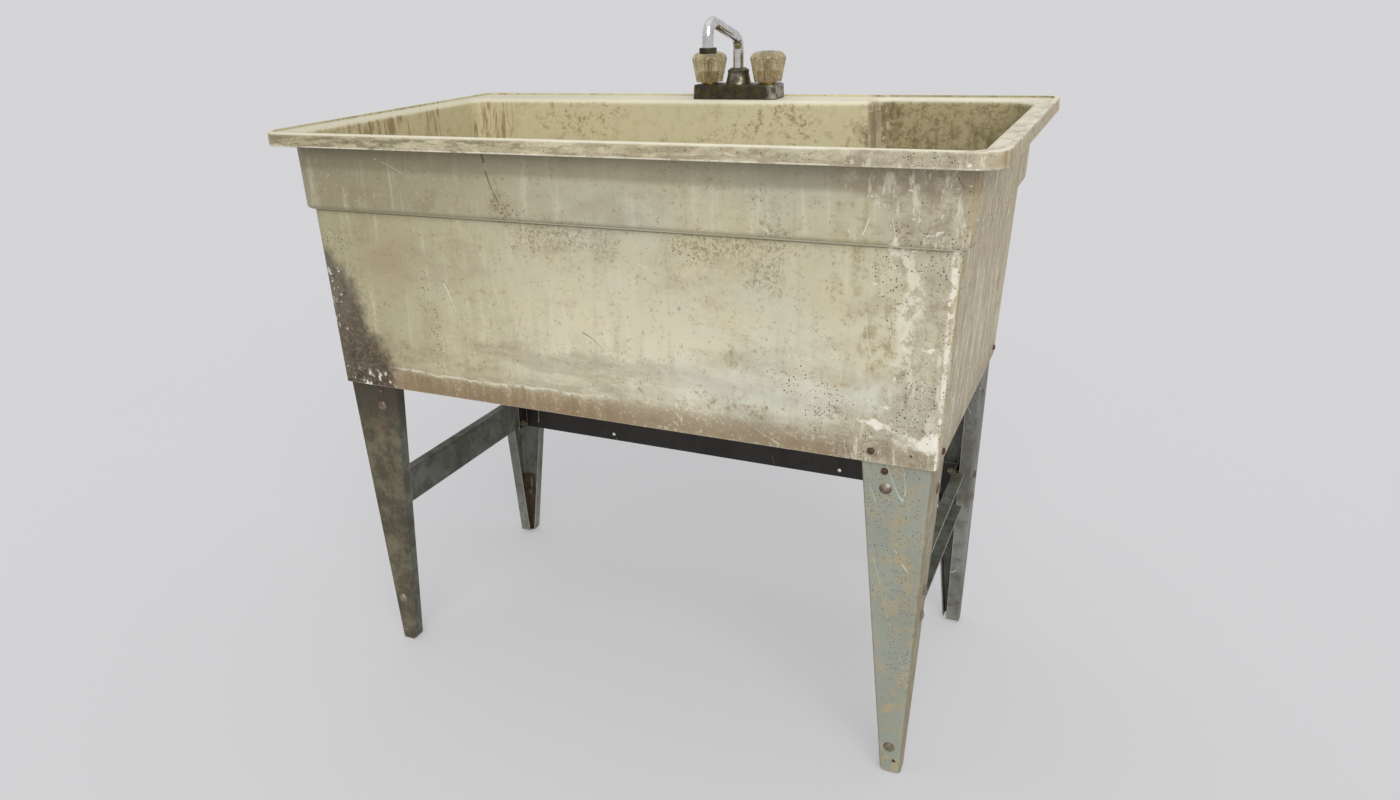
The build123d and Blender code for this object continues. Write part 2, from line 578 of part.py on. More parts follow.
bore = DRAIN_BODY_R - DRAIN_WALL
recess_z = FLOOR_Z - DRAIN_RECESS_H + SEAT          # underside of the strainer's flange
flange_z = recess_z + DRAIN_FLANGE_T
gasket_z = floor_under_z - DRAIN_BOSS_H - SEAT
locknut_z = gasket_z - GASKET_T - SEAT

with BuildPart() as drain_strainer:
    add(turned(0, DRAIN_Y, [(bore, DRAIN_BODY_END), (DRAIN_BODY_R, DRAIN_BODY_END),
                            (DRAIN_BODY_R, recess_z), (DRAIN_FLANGE_R, recess_z),
                            (DRAIN_FLANGE_R - 1, flange_z), (DRAIN_BODY_R + 2, flange_z),
                            (bore, recess_z - 2)]))
    with BuildSketch(Plane.XY.offset(recess_z - 14)):
        with Locations((0, DRAIN_Y)):
            Circle(bore + 0.5)
            with GridLocations(GRID_PITCH, GRID_PITCH, 5, 5):
                Rectangle(GRID_PITCH - 2, GRID_PITCH - 2, mode=Mode.SUBTRACT)
    extrude(amount=3)
save(drain_strainer, "drain_strainer")

with BuildPart() as drain_gasket:
    add(turned(0, DRAIN_Y, ring(DRAIN_BODY_R + GAP, GASKET_R, gasket_z - GASKET_T, gasket_z)))
save(drain_gasket, "drain_gasket")

with BuildPart() as drain_locknut:
    add(turned(0, DRAIN_Y, ring(DRAIN_BODY_R + RUN, LOCKNUT_R, locknut_z - LOCKNUT_H, locknut_z)))
    with Locations((0, DRAIN_Y, locknut_z - LOCKNUT_H)):
        with PolarLocations(LOCKNUT_R, 6):
            Box(9, 8, LOCKNUT_H, align=ON_TOP)
save(drain_locknut, "drain_locknut")

tail_rim = DRAIN_BODY_R - 0.4
with BuildPart() as tail_washer:
    add(turned(0, DRAIN_Y, ring(TAIL_R - 1, tail_rim, DRAIN_BODY_END - SEAT - TAIL_FLANGE_T,
                                DRAIN_BODY_END - SEAT)))
save(tail_washer, "tail_washer")

tail_top = DRAIN_BODY_END - 2 * SEAT - TAIL_FLANGE_T
nut_under = tail_top - NUT_LIP
with BuildPart() as tailpiece:
    add(turned(0, DRAIN_Y, [(TAIL_R - TAIL_WALL, TAIL_END), (TAIL_R, TAIL_END),
                            (TAIL_R, nut_under - GROOVE_W), (TAIL_R - GROOVE_D, nut_under - GROOVE_W),
                            (TAIL_R - GROOVE_D, nut_under), (TAIL_R, nut_under),
                            (TAIL_R, tail_top - TAIL_FLANGE_T), (tail_rim, tail_top - TAIL_FLANGE_T),
                            (tail_rim, tail_top), (TAIL_R - TAIL_WALL, tail_top)]))
save(tailpiece, "tailpiece")

with BuildPart() as tail_nut:
    add(turned(0, DRAIN_Y, [(TAIL_R + GAP, nut_under), (TAIL_NUT_R, nut_under),
                            (TAIL_NUT_R, tail_top + NUT_RISE), (DRAIN_BODY_R + RUN, tail_top + NUT_RISE),
                            (DRAIN_BODY_R + RUN, tail_top - TAIL_FLANGE_T - SEAT),
                            (TAIL_R + GAP, tail_top - TAIL_FLANGE_T - SEAT)]))
    with Locations((0, DRAIN_Y, nut_under)):
        with PolarLocations(TAIL_NUT_R, 8):
            Box(3.4, 6, NUT_LIP + NUT_RISE, align=ON_TOP)
save(tail_nut, "tail_nut")

# ---- Tap body and cover ----------------------------------------------------------------------
VALVES = {"hot": TAP_X - HANDLE_SPACING / 2, "cold": TAP_X + HANDLE_SPACING / 2}
tap_plane = Plane(origin=(TAP_X, TAP_Y, FLAT_Z))
barrel_top = COVER_TOP + BARREL_RISE
deck_under = FLAT_Z - WALL
shank_nut_z = deck_under - 2 * SEAT - SHANK_WASHER_T
shank_free_z = shank_nut_z - SHANK_NUT_H

with BuildPart() as tap_pad:
    with BuildSketch(tap_plane):
        pad_w, pad_d, pad_r = COVER_W - 1, COVER_D - 1, COVER_R - 0.5
        RectangleRounded(pad_w, pad_d, pad_r)
        RectangleRounded(pad_w - 2 * PAD_RING, pad_d - 2 * PAD_RING, pad_r - PAD_RING,
                         mode=Mode.SUBTRACT)
    extrude(amount=PAD_T)
save(tap_pad, "tap_pad")

with BuildPart() as tap_cover:
    with BuildSketch(tap_plane.offset(PAD_T)):
        RectangleRounded(COVER_W, COVER_D, COVER_R)
    extrude(amount=COVER_H, taper=COVER_TAPER)
    fillet(tap_cover.edges().group_by(Axis.Z)[-1], COVER_TOP_R)
    offset(amount=-COVER_T, openings=tap_cover.faces().sort_by(Axis.Z)[0])
    with Locations(*[(x, TAP_Y, COVER_TOP) for x in (*VALVES.values(), TAP_X)]):
        Cylinder(VALVE_R + GAP, 4 * COVER_T, mode=Mode.SUBTRACT)
save(tap_cover, "tap_cover")

with BuildPart() as tap_body:
    for x in VALVES.values():
        add(turned(x, TAP_Y, [(0, FLAT_Z - SHANK_L), (SHANK_R, FLAT_Z - SHANK_L),
                              (SHANK_R, shank_free_z - GROOVE_W),
                              (SHANK_R - GROOVE_D, shank_free_z - GROOVE_W),
                              (SHANK_R - GROOVE_D, shank_free_z), (SHANK_R, shank_free_z),
                              (SHANK_R, FLAT_Z + SEAT), (VALVE_R + 3, FLAT_Z + SEAT),
                              (VALVE_R + 3, FLAT_Z + 4), (VALVE_R, FLAT_Z + 4),
                              (VALVE_R, barrel_top), (0, barrel_top)]))
    add(turned(TAP_X, TAP_Y, [(0, FLAT_Z + 1), (VALVE_R, FLAT_Z + 1), (VALVE_R, BOSS_TOP),
                              (0, BOSS_TOP)]))
    with Locations(Plane(origin=(TAP_X, TAP_Y, WATERWAY_Z), z_dir=(1, 0, 0))):
        Cylinder(WATERWAY_R, HANDLE_SPACING)
        Cylinder(WATERWAY_R - 3, HANDLE_SPACING, mode=Mode.SUBTRACT)
    for x in VALVES.values():
        add(turned(x, TAP_Y, [(0, FLAT_Z - SHANK_L), (SHANK_BORE, FLAT_Z - SHANK_L),
                              (SHANK_BORE, SEAT_Z - 4), (SEAT_BORE, SEAT_Z - 4),
                              (SEAT_BORE, SEAT_Z), (VALVE_BORE, SEAT_Z),
                              (VALVE_BORE, barrel_top), (0, barrel_top)]), mode=Mode.SUBTRACT)
    add(turned(TAP_X, TAP_Y, [(0, WATERWAY_Z - 3), (SPOUT_R - 3, WATERWAY_Z - 3),
                              (SPOUT_R - 3, PLUG_Z - 1), (SPOUT_R + RUN, PLUG_Z - 1),
                              (SPOUT_R + RUN, BOSS_TOP), (0, BOSS_TOP)]), mode=Mode.SUBTRACT)
save(tap_body, "tap_body")

with BuildPart() as shank_washers:
    for x in VALVES.values():
        add(turned(x, TAP_Y, ring(SHANK_R + GAP, SHANK_NUT_R, deck_under - SEAT - SHANK_WASHER_T,
                                  deck_under - SEAT)))
save(shank_washers, "shank_washers")

with BuildPart() as shank_nuts:
    with BuildSketch(Plane.XY.offset(shank_nut_z)):
        with Locations(*[(x, TAP_Y) for x in VALVES.values()]):
            RegularPolygon(SHANK_NUT_R, 6)
            Circle(SHANK_R + RUN, mode=Mode.SUBTRACT)
    extrude(amount=-SHANK_NUT_H)
save(shank_nuts, "shank_nuts")

# ---- Valves and handles ----------------------------------------------------------------------
bonnet_z = barrel_top + SEAT
packing_z = bonnet_z + BONNET_H + SEAT

with BuildPart() as bonnets:
    for x in VALVES.values():
        add(turned(x, TAP_Y, [(STEM_R + RUN, barrel_top - 5), (VALVE_BORE - RUN, barrel_top - 5),
                              (VALVE_BORE - RUN, bonnet_z), (STEM_R + RUN, bonnet_z)]))
    with BuildSketch(Plane.XY.offset(bonnet_z)):
        with Locations(*[(x, TAP_Y) for x in VALVES.values()]):
            RegularPolygon(12.7, 6)
            Circle(STEM_R + RUN, mode=Mode.SUBTRACT)
    extrude(amount=BONNET_H)
save(bonnets, "bonnets")

with BuildPart() as packing_nuts:
    with BuildSketch(Plane.XY.offset(packing_z)):
        with Locations(*[(x, TAP_Y) for x in VALVES.values()]):
            RegularPolygon(8, 6)
            Circle(STEM_R + RUN, mode=Mode.SUBTRACT)
    extrude(amount=5.8)
save(packing_nuts, "packing_nuts")


def make_valve(side, x):
    """Seat washer, stem, handle, handle screw and cap of one valve."""
    stem_z = SEAT_Z + WASHER_T + SEAT
    washer = turned(x, TAP_Y, ring(0, WASHER_R, SEAT_Z, SEAT_Z + WASHER_T))
    with BuildPart() as seat_washer:
        add(washer)
    save(seat_washer, f"seat_washer_{side}")

    with BuildPart() as stem:
        add(turned(x, TAP_Y, [(0, stem_z), (STEM_THREAD_R, stem_z), (STEM_THREAD_R, stem_z + 6.8),
                              (STEM_R, stem_z + 6.8), (STEM_R, STEM_TOP), (0, STEM_TOP)]))
        with Locations((x, TAP_Y, STEM_TOP)):
            Cylinder(SCREW_R + RUN, 2 * 10, mode=Mode.SUBTRACT)
    save(stem, f"stem_{side}")

    with BuildPart() as handle:
        with BuildSketch(Plane(origin=(x, TAP_Y, 0), x_dir=(1, 0, 0), z_dir=(0, -1, 0))):
            with BuildLine():
                Polyline((0, HANDLE_BOTTOM), (HANDLE_R0, HANDLE_BOTTOM),
                         (HANDLE_R1, HANDLE_TOP - HANDLE_DOME))
                ThreePointArc((HANDLE_R1, HANDLE_TOP - HANDLE_DOME),
                              (HANDLE_R1 - 4.5, HANDLE_TOP - 3.6), (CAP_R + 3, HANDLE_TOP))
                Polyline((CAP_R + 3, HANDLE_TOP), (0, HANDLE_TOP), (0, HANDLE_BOTTOM))
            make_face()
        revolve(axis=Axis((x, TAP_Y, 0), (0, 0, 1)))
        with Locations((x, TAP_Y, HANDLE_BOTTOM)):
            with PolarLocations(HANDLE_R0 + 1.8, FLUTES):
                with Locations(Location((0, 0, 0), (0, FLUTE_TILT, 0))):
                    Cylinder(FLUTE_R, 2 * HANDLE_TOP, mode=Mode.SUBTRACT)
        add(turned(x, TAP_Y, [(0, HANDLE_BOTTOM), (HANDLE_RECESS_R, HANDLE_BOTTOM),
                              (HANDLE_RECESS_R, HANDLE_RECESS_Z), (STEM_R + SEAT, HANDLE_RECESS_Z),
                              (STEM_R + SEAT, STEM_TOP + SEAT), (0, STEM_TOP + SEAT)]),
            mode=Mode.SUBTRACT)
        with Locations((x, TAP_Y, STEM_TOP + 3)):
            Cylinder(CAP_R + SEAT, HANDLE_TOP, align=ON_TOP, mode=Mode.SUBTRACT)
            Cylinder(SCREW_R + BOLT_FREE, 12, mode=Mode.SUBTRACT)
    save(handle, f"handle_{side}")

    with BuildPart() as screw:
        with Locations(Plane(origin=(x, TAP_Y, STEM_TOP + 3))):
            add(pan_screw(12))
    save(screw, f"handle_screw_{side}")

    with BuildPart() as cap:
        with Locations((x, TAP_Y, HANDLE_TOP - 3.5)):
            Cylinder(CAP_R, 2.6, align=ON_TOP)
        fillet(cap.edges().group_by(Axis.Z)[-1], 0.8)
    save(cap, f"index_cap_{side}")


for side, x in VALVES.items():
    make_valve(side, x)

# ---- Spout -----------------------------------------------------------------------------------
spout_nut_z = BOSS_TOP - 8
end_y = TAP_Y - SPOUT_REACH
collar_z = BOSS_TOP + GAP

with BuildPart() as spout_hub:
    add(turned(TAP_X, TAP_Y, [(HUB_R0 - 1.4, COVER_TOP + SEAT), (HUB_R0, COVER_TOP + SEAT),
                              (HUB_R1, HUB_TOP), (HUB_R1 - 1.4, HUB_TOP)]))
save(spout_hub, "spout_hub")

with BuildPart() as spout_nut:
    add(turned(TAP_X, TAP_Y, [(VALVE_R + SEAT, spout_nut_z), (15, spout_nut_z), (15, HUB_TOP + GAP),
                              (17.6, HUB_TOP + GAP), (17.6, HUB_TOP + 3), (16, HUB_TOP + 4.6),
                              (11.5, HUB_TOP + 7.6), (SPOUT_R + RUN, HUB_TOP + 7.6),
                              (SPOUT_R + RUN, collar_z + 2 + GAP), (11, collar_z + 2 + GAP),
                              (11, BOSS_TOP + SEAT), (VALVE_R + SEAT, BOSS_TOP + SEAT)]))
save(spout_nut, "spout_nut")

with BuildPart() as spout:
    with BuildLine() as spout_path:
        FilletPolyline((TAP_X, TAP_Y, BOSS_TOP), (TAP_X, TAP_Y, SPOUT_KNEE_Z),
                       (TAP_X, end_y, SPOUT_CREST_Z), (TAP_X, end_y, SPOUT_END_Z),
                       radius=SPOUT_BEND)
    with BuildSketch(Plane(origin=(TAP_X, TAP_Y, BOSS_TOP))):
        Circle(SPOUT_R)
        Circle(SPOUT_R - SPOUT_WALL, mode=Mode.SUBTRACT)
    sweep()
    add(turned(TAP_X, TAP_Y, [(SPOUT_R - 3.2, PLUG_Z), (SPOUT_R, PLUG_Z), (SPOUT_R, GROOVE_Z),
                              (SPOUT_R - 2.5, GROOVE_Z), (SPOUT_R - 2.5, GROOVE_Z + 2.6),
                              (SPOUT_R, GROOVE_Z + 2.6), (SPOUT_R, collar_z),
                              (COLLAR_R, collar_z), (COLLAR_R, collar_z + 2),
                              (SPOUT_R - 1, collar_z + 2), (SPOUT_R - 3.2, BOSS_TOP)]))
    add(turned(TAP_X, end_y, ring(SPOUT_R - SPOUT_WALL, END_FLANGE_R, SPOUT_END_Z,
                                  SPOUT_END_Z + 4)))
save(spout, "spout")

with BuildPart() as o_ring:
    with Locations((TAP_X, TAP_Y, GROOVE_Z + 1.3)):
        Torus(SPOUT_R - 1.2, 1.2)
save(o_ring, "o_ring")

with BuildPart() as end_nut:
    top = SPOUT_END_Z + 4 + SEAT
    add(turned(TAP_X, end_y, [(END_FLANGE_R + RUN, SPOUT_END_Z - 2.4), (END_NUT_R, SPOUT_END_Z - 2.4),
                              (END_NUT_R, top + 1.2), (END_NUT_R - 1, top + 2.2),
                              (SPOUT_R + GAP, top + 2.2), (SPOUT_R + GAP, top),
                              (END_FLANGE_R + RUN, top)]))
save(end_nut, "end_nut")

with BuildPart() as aerator_screen:
    with BuildSketch(Plane(origin=(TAP_X, end_y, SPOUT_END_Z - SEAT))):
        Circle(END_FLANGE_R - 0.1)
        with HexLocations(1.25, 7, 7):
            Circle(0.8, mode=Mode.SUBTRACT)
    extrude(amount=-1.2)
save(aerator_screen, "aerator_screen")
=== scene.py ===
"""Utility laundry sink: finishes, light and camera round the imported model."""
import math

import bpy
from mathutils import Matrix, Vector

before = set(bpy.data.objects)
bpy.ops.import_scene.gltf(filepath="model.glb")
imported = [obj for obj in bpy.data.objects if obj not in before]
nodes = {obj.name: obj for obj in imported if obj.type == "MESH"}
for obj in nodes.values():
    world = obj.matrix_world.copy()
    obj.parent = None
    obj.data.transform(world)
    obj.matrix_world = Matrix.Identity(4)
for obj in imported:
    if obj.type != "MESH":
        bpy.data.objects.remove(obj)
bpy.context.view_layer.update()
scene = bpy.context.scene


# ---- Colours ---------------------------------------------------------------------------------
def tone(r, g, b):
    """Linear colour of a screen colour given in 0 to 255."""
    def linear(v):
        v /= 255
        return v / 12.92 if v <= 0.04045 else ((v + 0.055) / 1.055) ** 2.4
    return (linear(r), linear(g), linear(b), 1)


CREAM = tone(207, 202, 177)
CREAM_WARM = tone(206, 197, 165)
CREAM_COOL = tone(198, 200, 182)
CREAM_LIGHT = tone(222, 218, 196)
PALE_BLUE = tone(200, 203, 192)
DULL = tone(149, 141, 106)
DULL_GREY = tone(148, 142, 116)
DULL_DARK = tone(113, 105, 78)
TAN = tone(164, 148, 116)
TAN_DARK = tone(134, 114, 82)
OLIVE_TAN = tone(146, 132, 92)
MAUVE = tone(138, 124, 100)
PIT = tone(122, 107, 78)
SAND = tone(168, 150, 112)
BROWN_GREY = tone(140, 127, 104)
SAND_PALE = tone(186, 178, 156)
SKIRT_TAN = tone(176, 156, 124)
SKIRT_BROWN = tone(124, 102, 72)
GRIME_AND_SHADE = tone(56, 45, 30)
GRIME_GREY = tone(96, 88, 76)
INSIDE = tone(198, 189, 150)
INSIDE_DULL = tone(176, 164, 122)
INSIDE_OLIVE = tone(142, 131, 90)
RECESS_DARK = tone(102, 88, 50)
RUST = tone(116, 70, 36)
RUST_PALE = tone(138, 110, 66)
CHIP = tone(234, 230, 214)
INK = tone(30, 25, 19)
BLUE_GREY = tone(142, 148, 136)


# ---- Node helpers ----------------------------------------------------------------------------
class Net:
    """A node tree with short calls for its nodes."""

    def __init__(self, tree):
        self.tree = tree

    def node(self, kind, *values, out=0, **settings):
        """Adds a node, fills its first inputs in order and any others by name, gives an output."""
        n = self.tree.nodes.new(kind)
        for key in [k for k in settings if hasattr(n, k)]:
            setattr(n, key, settings.pop(key))
        named = ((key.replace("_", " "), value) for key, value in settings.items())
        for key, value in [*enumerate(values), *named]:
            if value is None:
                continue
            if isinstance(value, bpy.types.NodeSocket):
                self.tree.links.new(value, n.inputs[key])
            else:
                n.inputs[key].default_value = value
        return n.outputs[out]

    def math(self, operation, *values, clamp=False):
        return self.node("ShaderNodeMath", *values, operation=operation, use_clamp=clamp)

    def ramp(self, value, low, high, to_low=0.0, to_high=1.0):
        """Smooth step of a value between low and high."""
        return self.node("ShaderNodeMapRange", value, low, high, to_low, to_high,
                         interpolation_type="SMOOTHSTEP")

    def span(self, value, start, full, fade, end):
        """One between full and fade, softly down to nothing at start and end."""
        return self.both(self.ramp(value, start, full), self.ramp(value, end, fade))

    def mix(self, factor, a, b):
        """Blends two colours."""
        n = self.tree.nodes.new("ShaderNodeMix")
        n.data_type = "RGBA"
        for socket, value in zip((n.inputs[0], n.inputs[6], n.inputs[7]), (factor, a, b)):
            if isinstance(value, bpy.types.NodeSocket):
                self.tree.links.new(value, socket)
            else:
                socket.default_value = value
        return n.outputs[2]

    def noise(self, vector, scale, detail=4.0, rough=0.55):
        return self.node("ShaderNodeTexNoise", Vector=vector, Scale=scale, Detail=detail,
                         Roughness=rough)

    def split(self, vector):
        """The three components of a vector."""
        parts = self.tree.nodes.new("ShaderNodeSeparateXYZ")
        self.tree.links.new(vector, parts.inputs[0])
        return tuple(parts.outputs)

    def fold(self, operation, values):
        """Joins values two by two with one operation."""
        result = values[0]
        for value in values[1:]:
            result = self.math(operation, result, value)
        return result

    def both(self, *masks):
        """Where all the masks hold."""
        return self.fold("MULTIPLY", masks)

    def most(self, *masks):
        """Where any of the masks holds."""
        return self.fold("MAXIMUM", masks)

    def layer(self, colour, mask, over, share):
        """Lays a colour over another where a mask holds."""
        return self.mix(self.math("MULTIPLY", mask, share, clamp=True), colour, over)

    def stretch(self, vector, x, y, z, shift=0.0):
        """Coordinates scaled along the three axes, then shifted along all of them."""
        scaled = self.node("ShaderNodeVectorMath", vector, (x, y, z), operation="MULTIPLY")
        return self.node("ShaderNodeVectorMath", scaled, (shift, shift, shift), operation="ADD")

    def group(self, tree, **values):
        """Places a node group and gives its mask."""
        n = self.tree.nodes.new("ShaderNodeGroup")
        n.node_tree = tree
        for key, value in values.items():
            if isinstance(value, bpy.types.NodeSocket):
                self.tree.links.new(value, n.inputs[key])
            else:
                n.inputs[key].default_value = value
        return n.outputs["Mask"]


def make_group(name, inputs, outputs):
    """Starts a shader node group; gives its net, its input sockets and its output node."""
    tree = bpy.data.node_groups.new(name, "ShaderNodeTree")
    for key, kind, default in inputs:
        socket = tree.interface.new_socket(key, in_out="INPUT", socket_type=f"NodeSocket{kind}")
        if default is not None:
            socket.default_value = default
    for key, kind in outputs:
        tree.interface.new_socket(key, in_out="OUTPUT", socket_type=f"NodeSocket{kind}")
    start, end = tree.nodes.new("NodeGroupInput"), tree.nodes.new("NodeGroupOutput")
    net = Net(tree)
    return net, {key: start.outputs[key] for key, _, _ in inputs}, end


def blotch_group():
    """Cloudy patches: a mask from noise, cut at a level and softened."""
    net, i, end = make_group("blotches", [("Place", "Vector", None), ("Scale", "Float", 5.0),
                                          ("Level", "Float", 0.5), ("Softness", "Float", 0.1),
                                          ("Grain", "Float", 0.6)], [("Mask", "Float")])
    noise = net.node("ShaderNodeTexNoise", Vector=i["Place"], Scale=i["Scale"], Detail=8.0,
                     Roughness=i["Grain"])
    low = net.math("SUBTRACT", i["Level"], i["Softness"])
    high = net.math("ADD", i["Level"], i["Softness"])
    mask = net.node("ShaderNodeMapRange", noise, low, high, 0.0, 1.0,
                    interpolation_type="SMOOTHSTEP")
    net.tree.links.new(mask, end.inputs["Mask"])
    return net.tree


def speck_group():
    """Small round specks that come in clusters."""
    net, i, end = make_group("specks", [("Place", "Vector", None), ("Scale", "Float", 90.0),
                                        ("Size", "Float", 0.2), ("Cluster", "Float", 4.0),
                                        ("Level", "Float", 0.55)], [("Mask", "Float")])
    cells = net.tree.nodes.new("ShaderNodeTexVoronoi")
    net.tree.links.new(i["Place"], cells.inputs["Vector"])
    net.tree.links.new(i["Scale"], cells.inputs["Scale"])
    pick = net.node("ShaderNodeSeparateColor", cells.outputs["Color"])
    pick = net.math("MAXIMUM", net.math("SUBTRACT", pick, 0.45), 0.0)
    size = net.math("MULTIPLY", i["Size"], net.math("MULTIPLY", pick, 1.8))
    dot = net.math("LESS_THAN", cells.outputs["Distance"], size)
    crowd = net.node("ShaderNodeTexNoise", Vector=i["Place"], Scale=i["Cluster"], Detail=3.0)
    near = net.math("GREATER_THAN", crowd, i["Level"])
    net.tree.links.new(net.math("MULTIPLY", dot, near), end.inputs["Mask"])
    return net.tree


def scratch_group():
    """Thin long scratches: narrow contour lines of a stretched noise."""
    net, i, end = make_group("scratches", [("Place", "Vector", None), ("Scale", "Float", 6.0),
                                           ("Width", "Float", 0.004), ("Turn", "Float", 0.6),
                                           ("Level", "Float", 0.5)], [("Mask", "Float")])
    turned = net.node("ShaderNodeVectorRotate", i["Place"], Angle=i["Turn"],
                      rotation_type="Y_AXIS")
    long = net.node("ShaderNodeVectorMath", turned, (1, 1, 0.13), operation="MULTIPLY")
    noise = net.node("ShaderNodeTexNoise", Vector=long, Scale=i["Scale"], Detail=1.0)
    away = net.math("ABSOLUTE", net.math("SUBTRACT", noise, 0.5))
    line = net.math("LESS_THAN", away, i["Width"])
    crowd = net.node("ShaderNodeTexNoise", Vector=i["Place"], Scale=9.0, Detail=4.0)
    near = net.math("GREATER_THAN", crowd, i["Level"])
    net.tree.links.new(net.math("MULTIPLY", line, near), end.inputs["Mask"])
    return net.tree


def edge_group():
    """Worn edges: where a rounded normal leaves the true one, broken up by noise."""
    net, i, end = make_group("edge_wear", [("Place", "Vector", None), ("Width", "Float", 0.004),
                                           ("Amount", "Float", 0.5), ("Scale", "Float", 60.0)],
                             [("Mask", "Float")])
    rounded = net.node("ShaderNodeBevel", Radius=i["Width"], samples=6)
    true = net.node("ShaderNodeNewGeometry", out=1)
    same = net.node("ShaderNodeVectorMath", rounded, true, operation="DOT_PRODUCT", out=1)
    edge = net.ramp(same, 0.995, 0.80)
    noise = net.node("ShaderNodeTexNoise", Vector=i["Place"], Scale=i["Scale"], Detail=5.0,
                     Roughness=0.7)
    level = net.math("SUBTRACT", 0.95, i["Amount"])
    torn = net.node("ShaderNodeMapRange", net.math("MULTIPLY", edge, net.math("ADD", noise, 0.35)),
                    level, net.math("ADD", level, 0.12), 0.0, 1.0)
    net.tree.links.new(torn, end.inputs["Mask"])
    return net.tree


BLOTCH, SPECK, SCRATCH, EDGE = blotch_group(), speck_group(), scratch_group(), edge_group()


def start_material(name):
    """A new node material: its net, its shader node and its object coordinates."""
    material = bpy.data.materials.new(name)
    material.use_nodes = True
    net = Net(material.node_tree)
    shader = material.node_tree.nodes["Principled BSDF"]
    place = net.node("ShaderNodeTexCoord", out=3)
    return material, net, shader, place


def finish_material(net, shader, colour, rough, height=None, strength=0.3, distance=0.001,
                    metallic=None):
    """Joins colour, roughness and bump to the shader."""
    net.tree.links.new(colour, shader.inputs["Base Color"])
    for name, value in (("Roughness", rough), ("Metallic", metallic)):
        if isinstance(value, bpy.types.NodeSocket):
            net.tree.links.new(value, shader.inputs[name])
        elif value is not None:
            shader.inputs[name].default_value = value
    if height is not None:
        bump = net.node("ShaderNodeBump", Strength=strength, Distance=distance, Height=height)
        net.tree.links.new(bump, shader.inputs["Normal"])


# ---- Tub finish ------------------------------------------------------------------------------
# Heights and places are in metres.
SKIRT_LINE = (0.5055, 0.507, 0.509, 0.5105)     # pale chipped line above the skirt's lower edge
BAND_FOOT = (0.7475, 0.7505)        # moulded step that the band ends in
BAND_LINE = 0.7487                  # dark line in that step: painted shade, partly grime
STEP_SHADE = (0.7485, 0.750, 0.753, 0.758)      # painted shade on the strip just above it
RIM_FOOT = (0.8435, 0.8455)         # underside of the rim
RIM_HEM = (0.8436, 0.8446, 0.8455, 0.8468)      # chipped strip along the rim's lower edge
RIM_EDGE = (0.8595, 0.8615)         # rubbed strip along the rim's upper edge
STIR = 0.13                         # reach by which the outlines of stains are torn
FRONT_Y = -0.27                     # place of the front face, for the patches on it
DRAIN = (0, 0.03, 0.52)             # middle of the rust round the drain

# Patches on the front face: place across, place up, reach across, reach up
TAN_PATCH = (-0.33, 0.68, 0.05, 0.07)
BRUISES = ((-0.37, 0.778, 0.035, 0.014), (-0.255, 0.782, 0.022, 0.014))
PITTED = ((-0.05, 0.735, 0.085, 0.03), (0.255, 0.725, 0.022, 0.05), (-0.125, 0.775, 0.02, 0.03))
OLIVE_PLACES = ((0.352, 0.735, 0.035, 0.075), (0.20, 0.595, 0.012, 0.02), (0.37, 0.65, 0.014, 0.08))
SCARS = ((0.39, 0.513, 0.02, 0.007), (0.43, 0.505, 0.018, 0.014))
SPECKED = ((-0.12, 0.77, 0.03, 0.025), (0.235, 0.80, 0.02, 0.02), (0.26, 0.575, 0.06, 0.025),
           (0.378, 0.685, 0.02, 0.055), (0.315, 0.545, 0.05, 0.04), (-0.265, 0.625, 0.025, 0.075),
           (-0.42, 0.70, 0.025, 0.03), (0.15, 0.72, 0.03, 0.02))


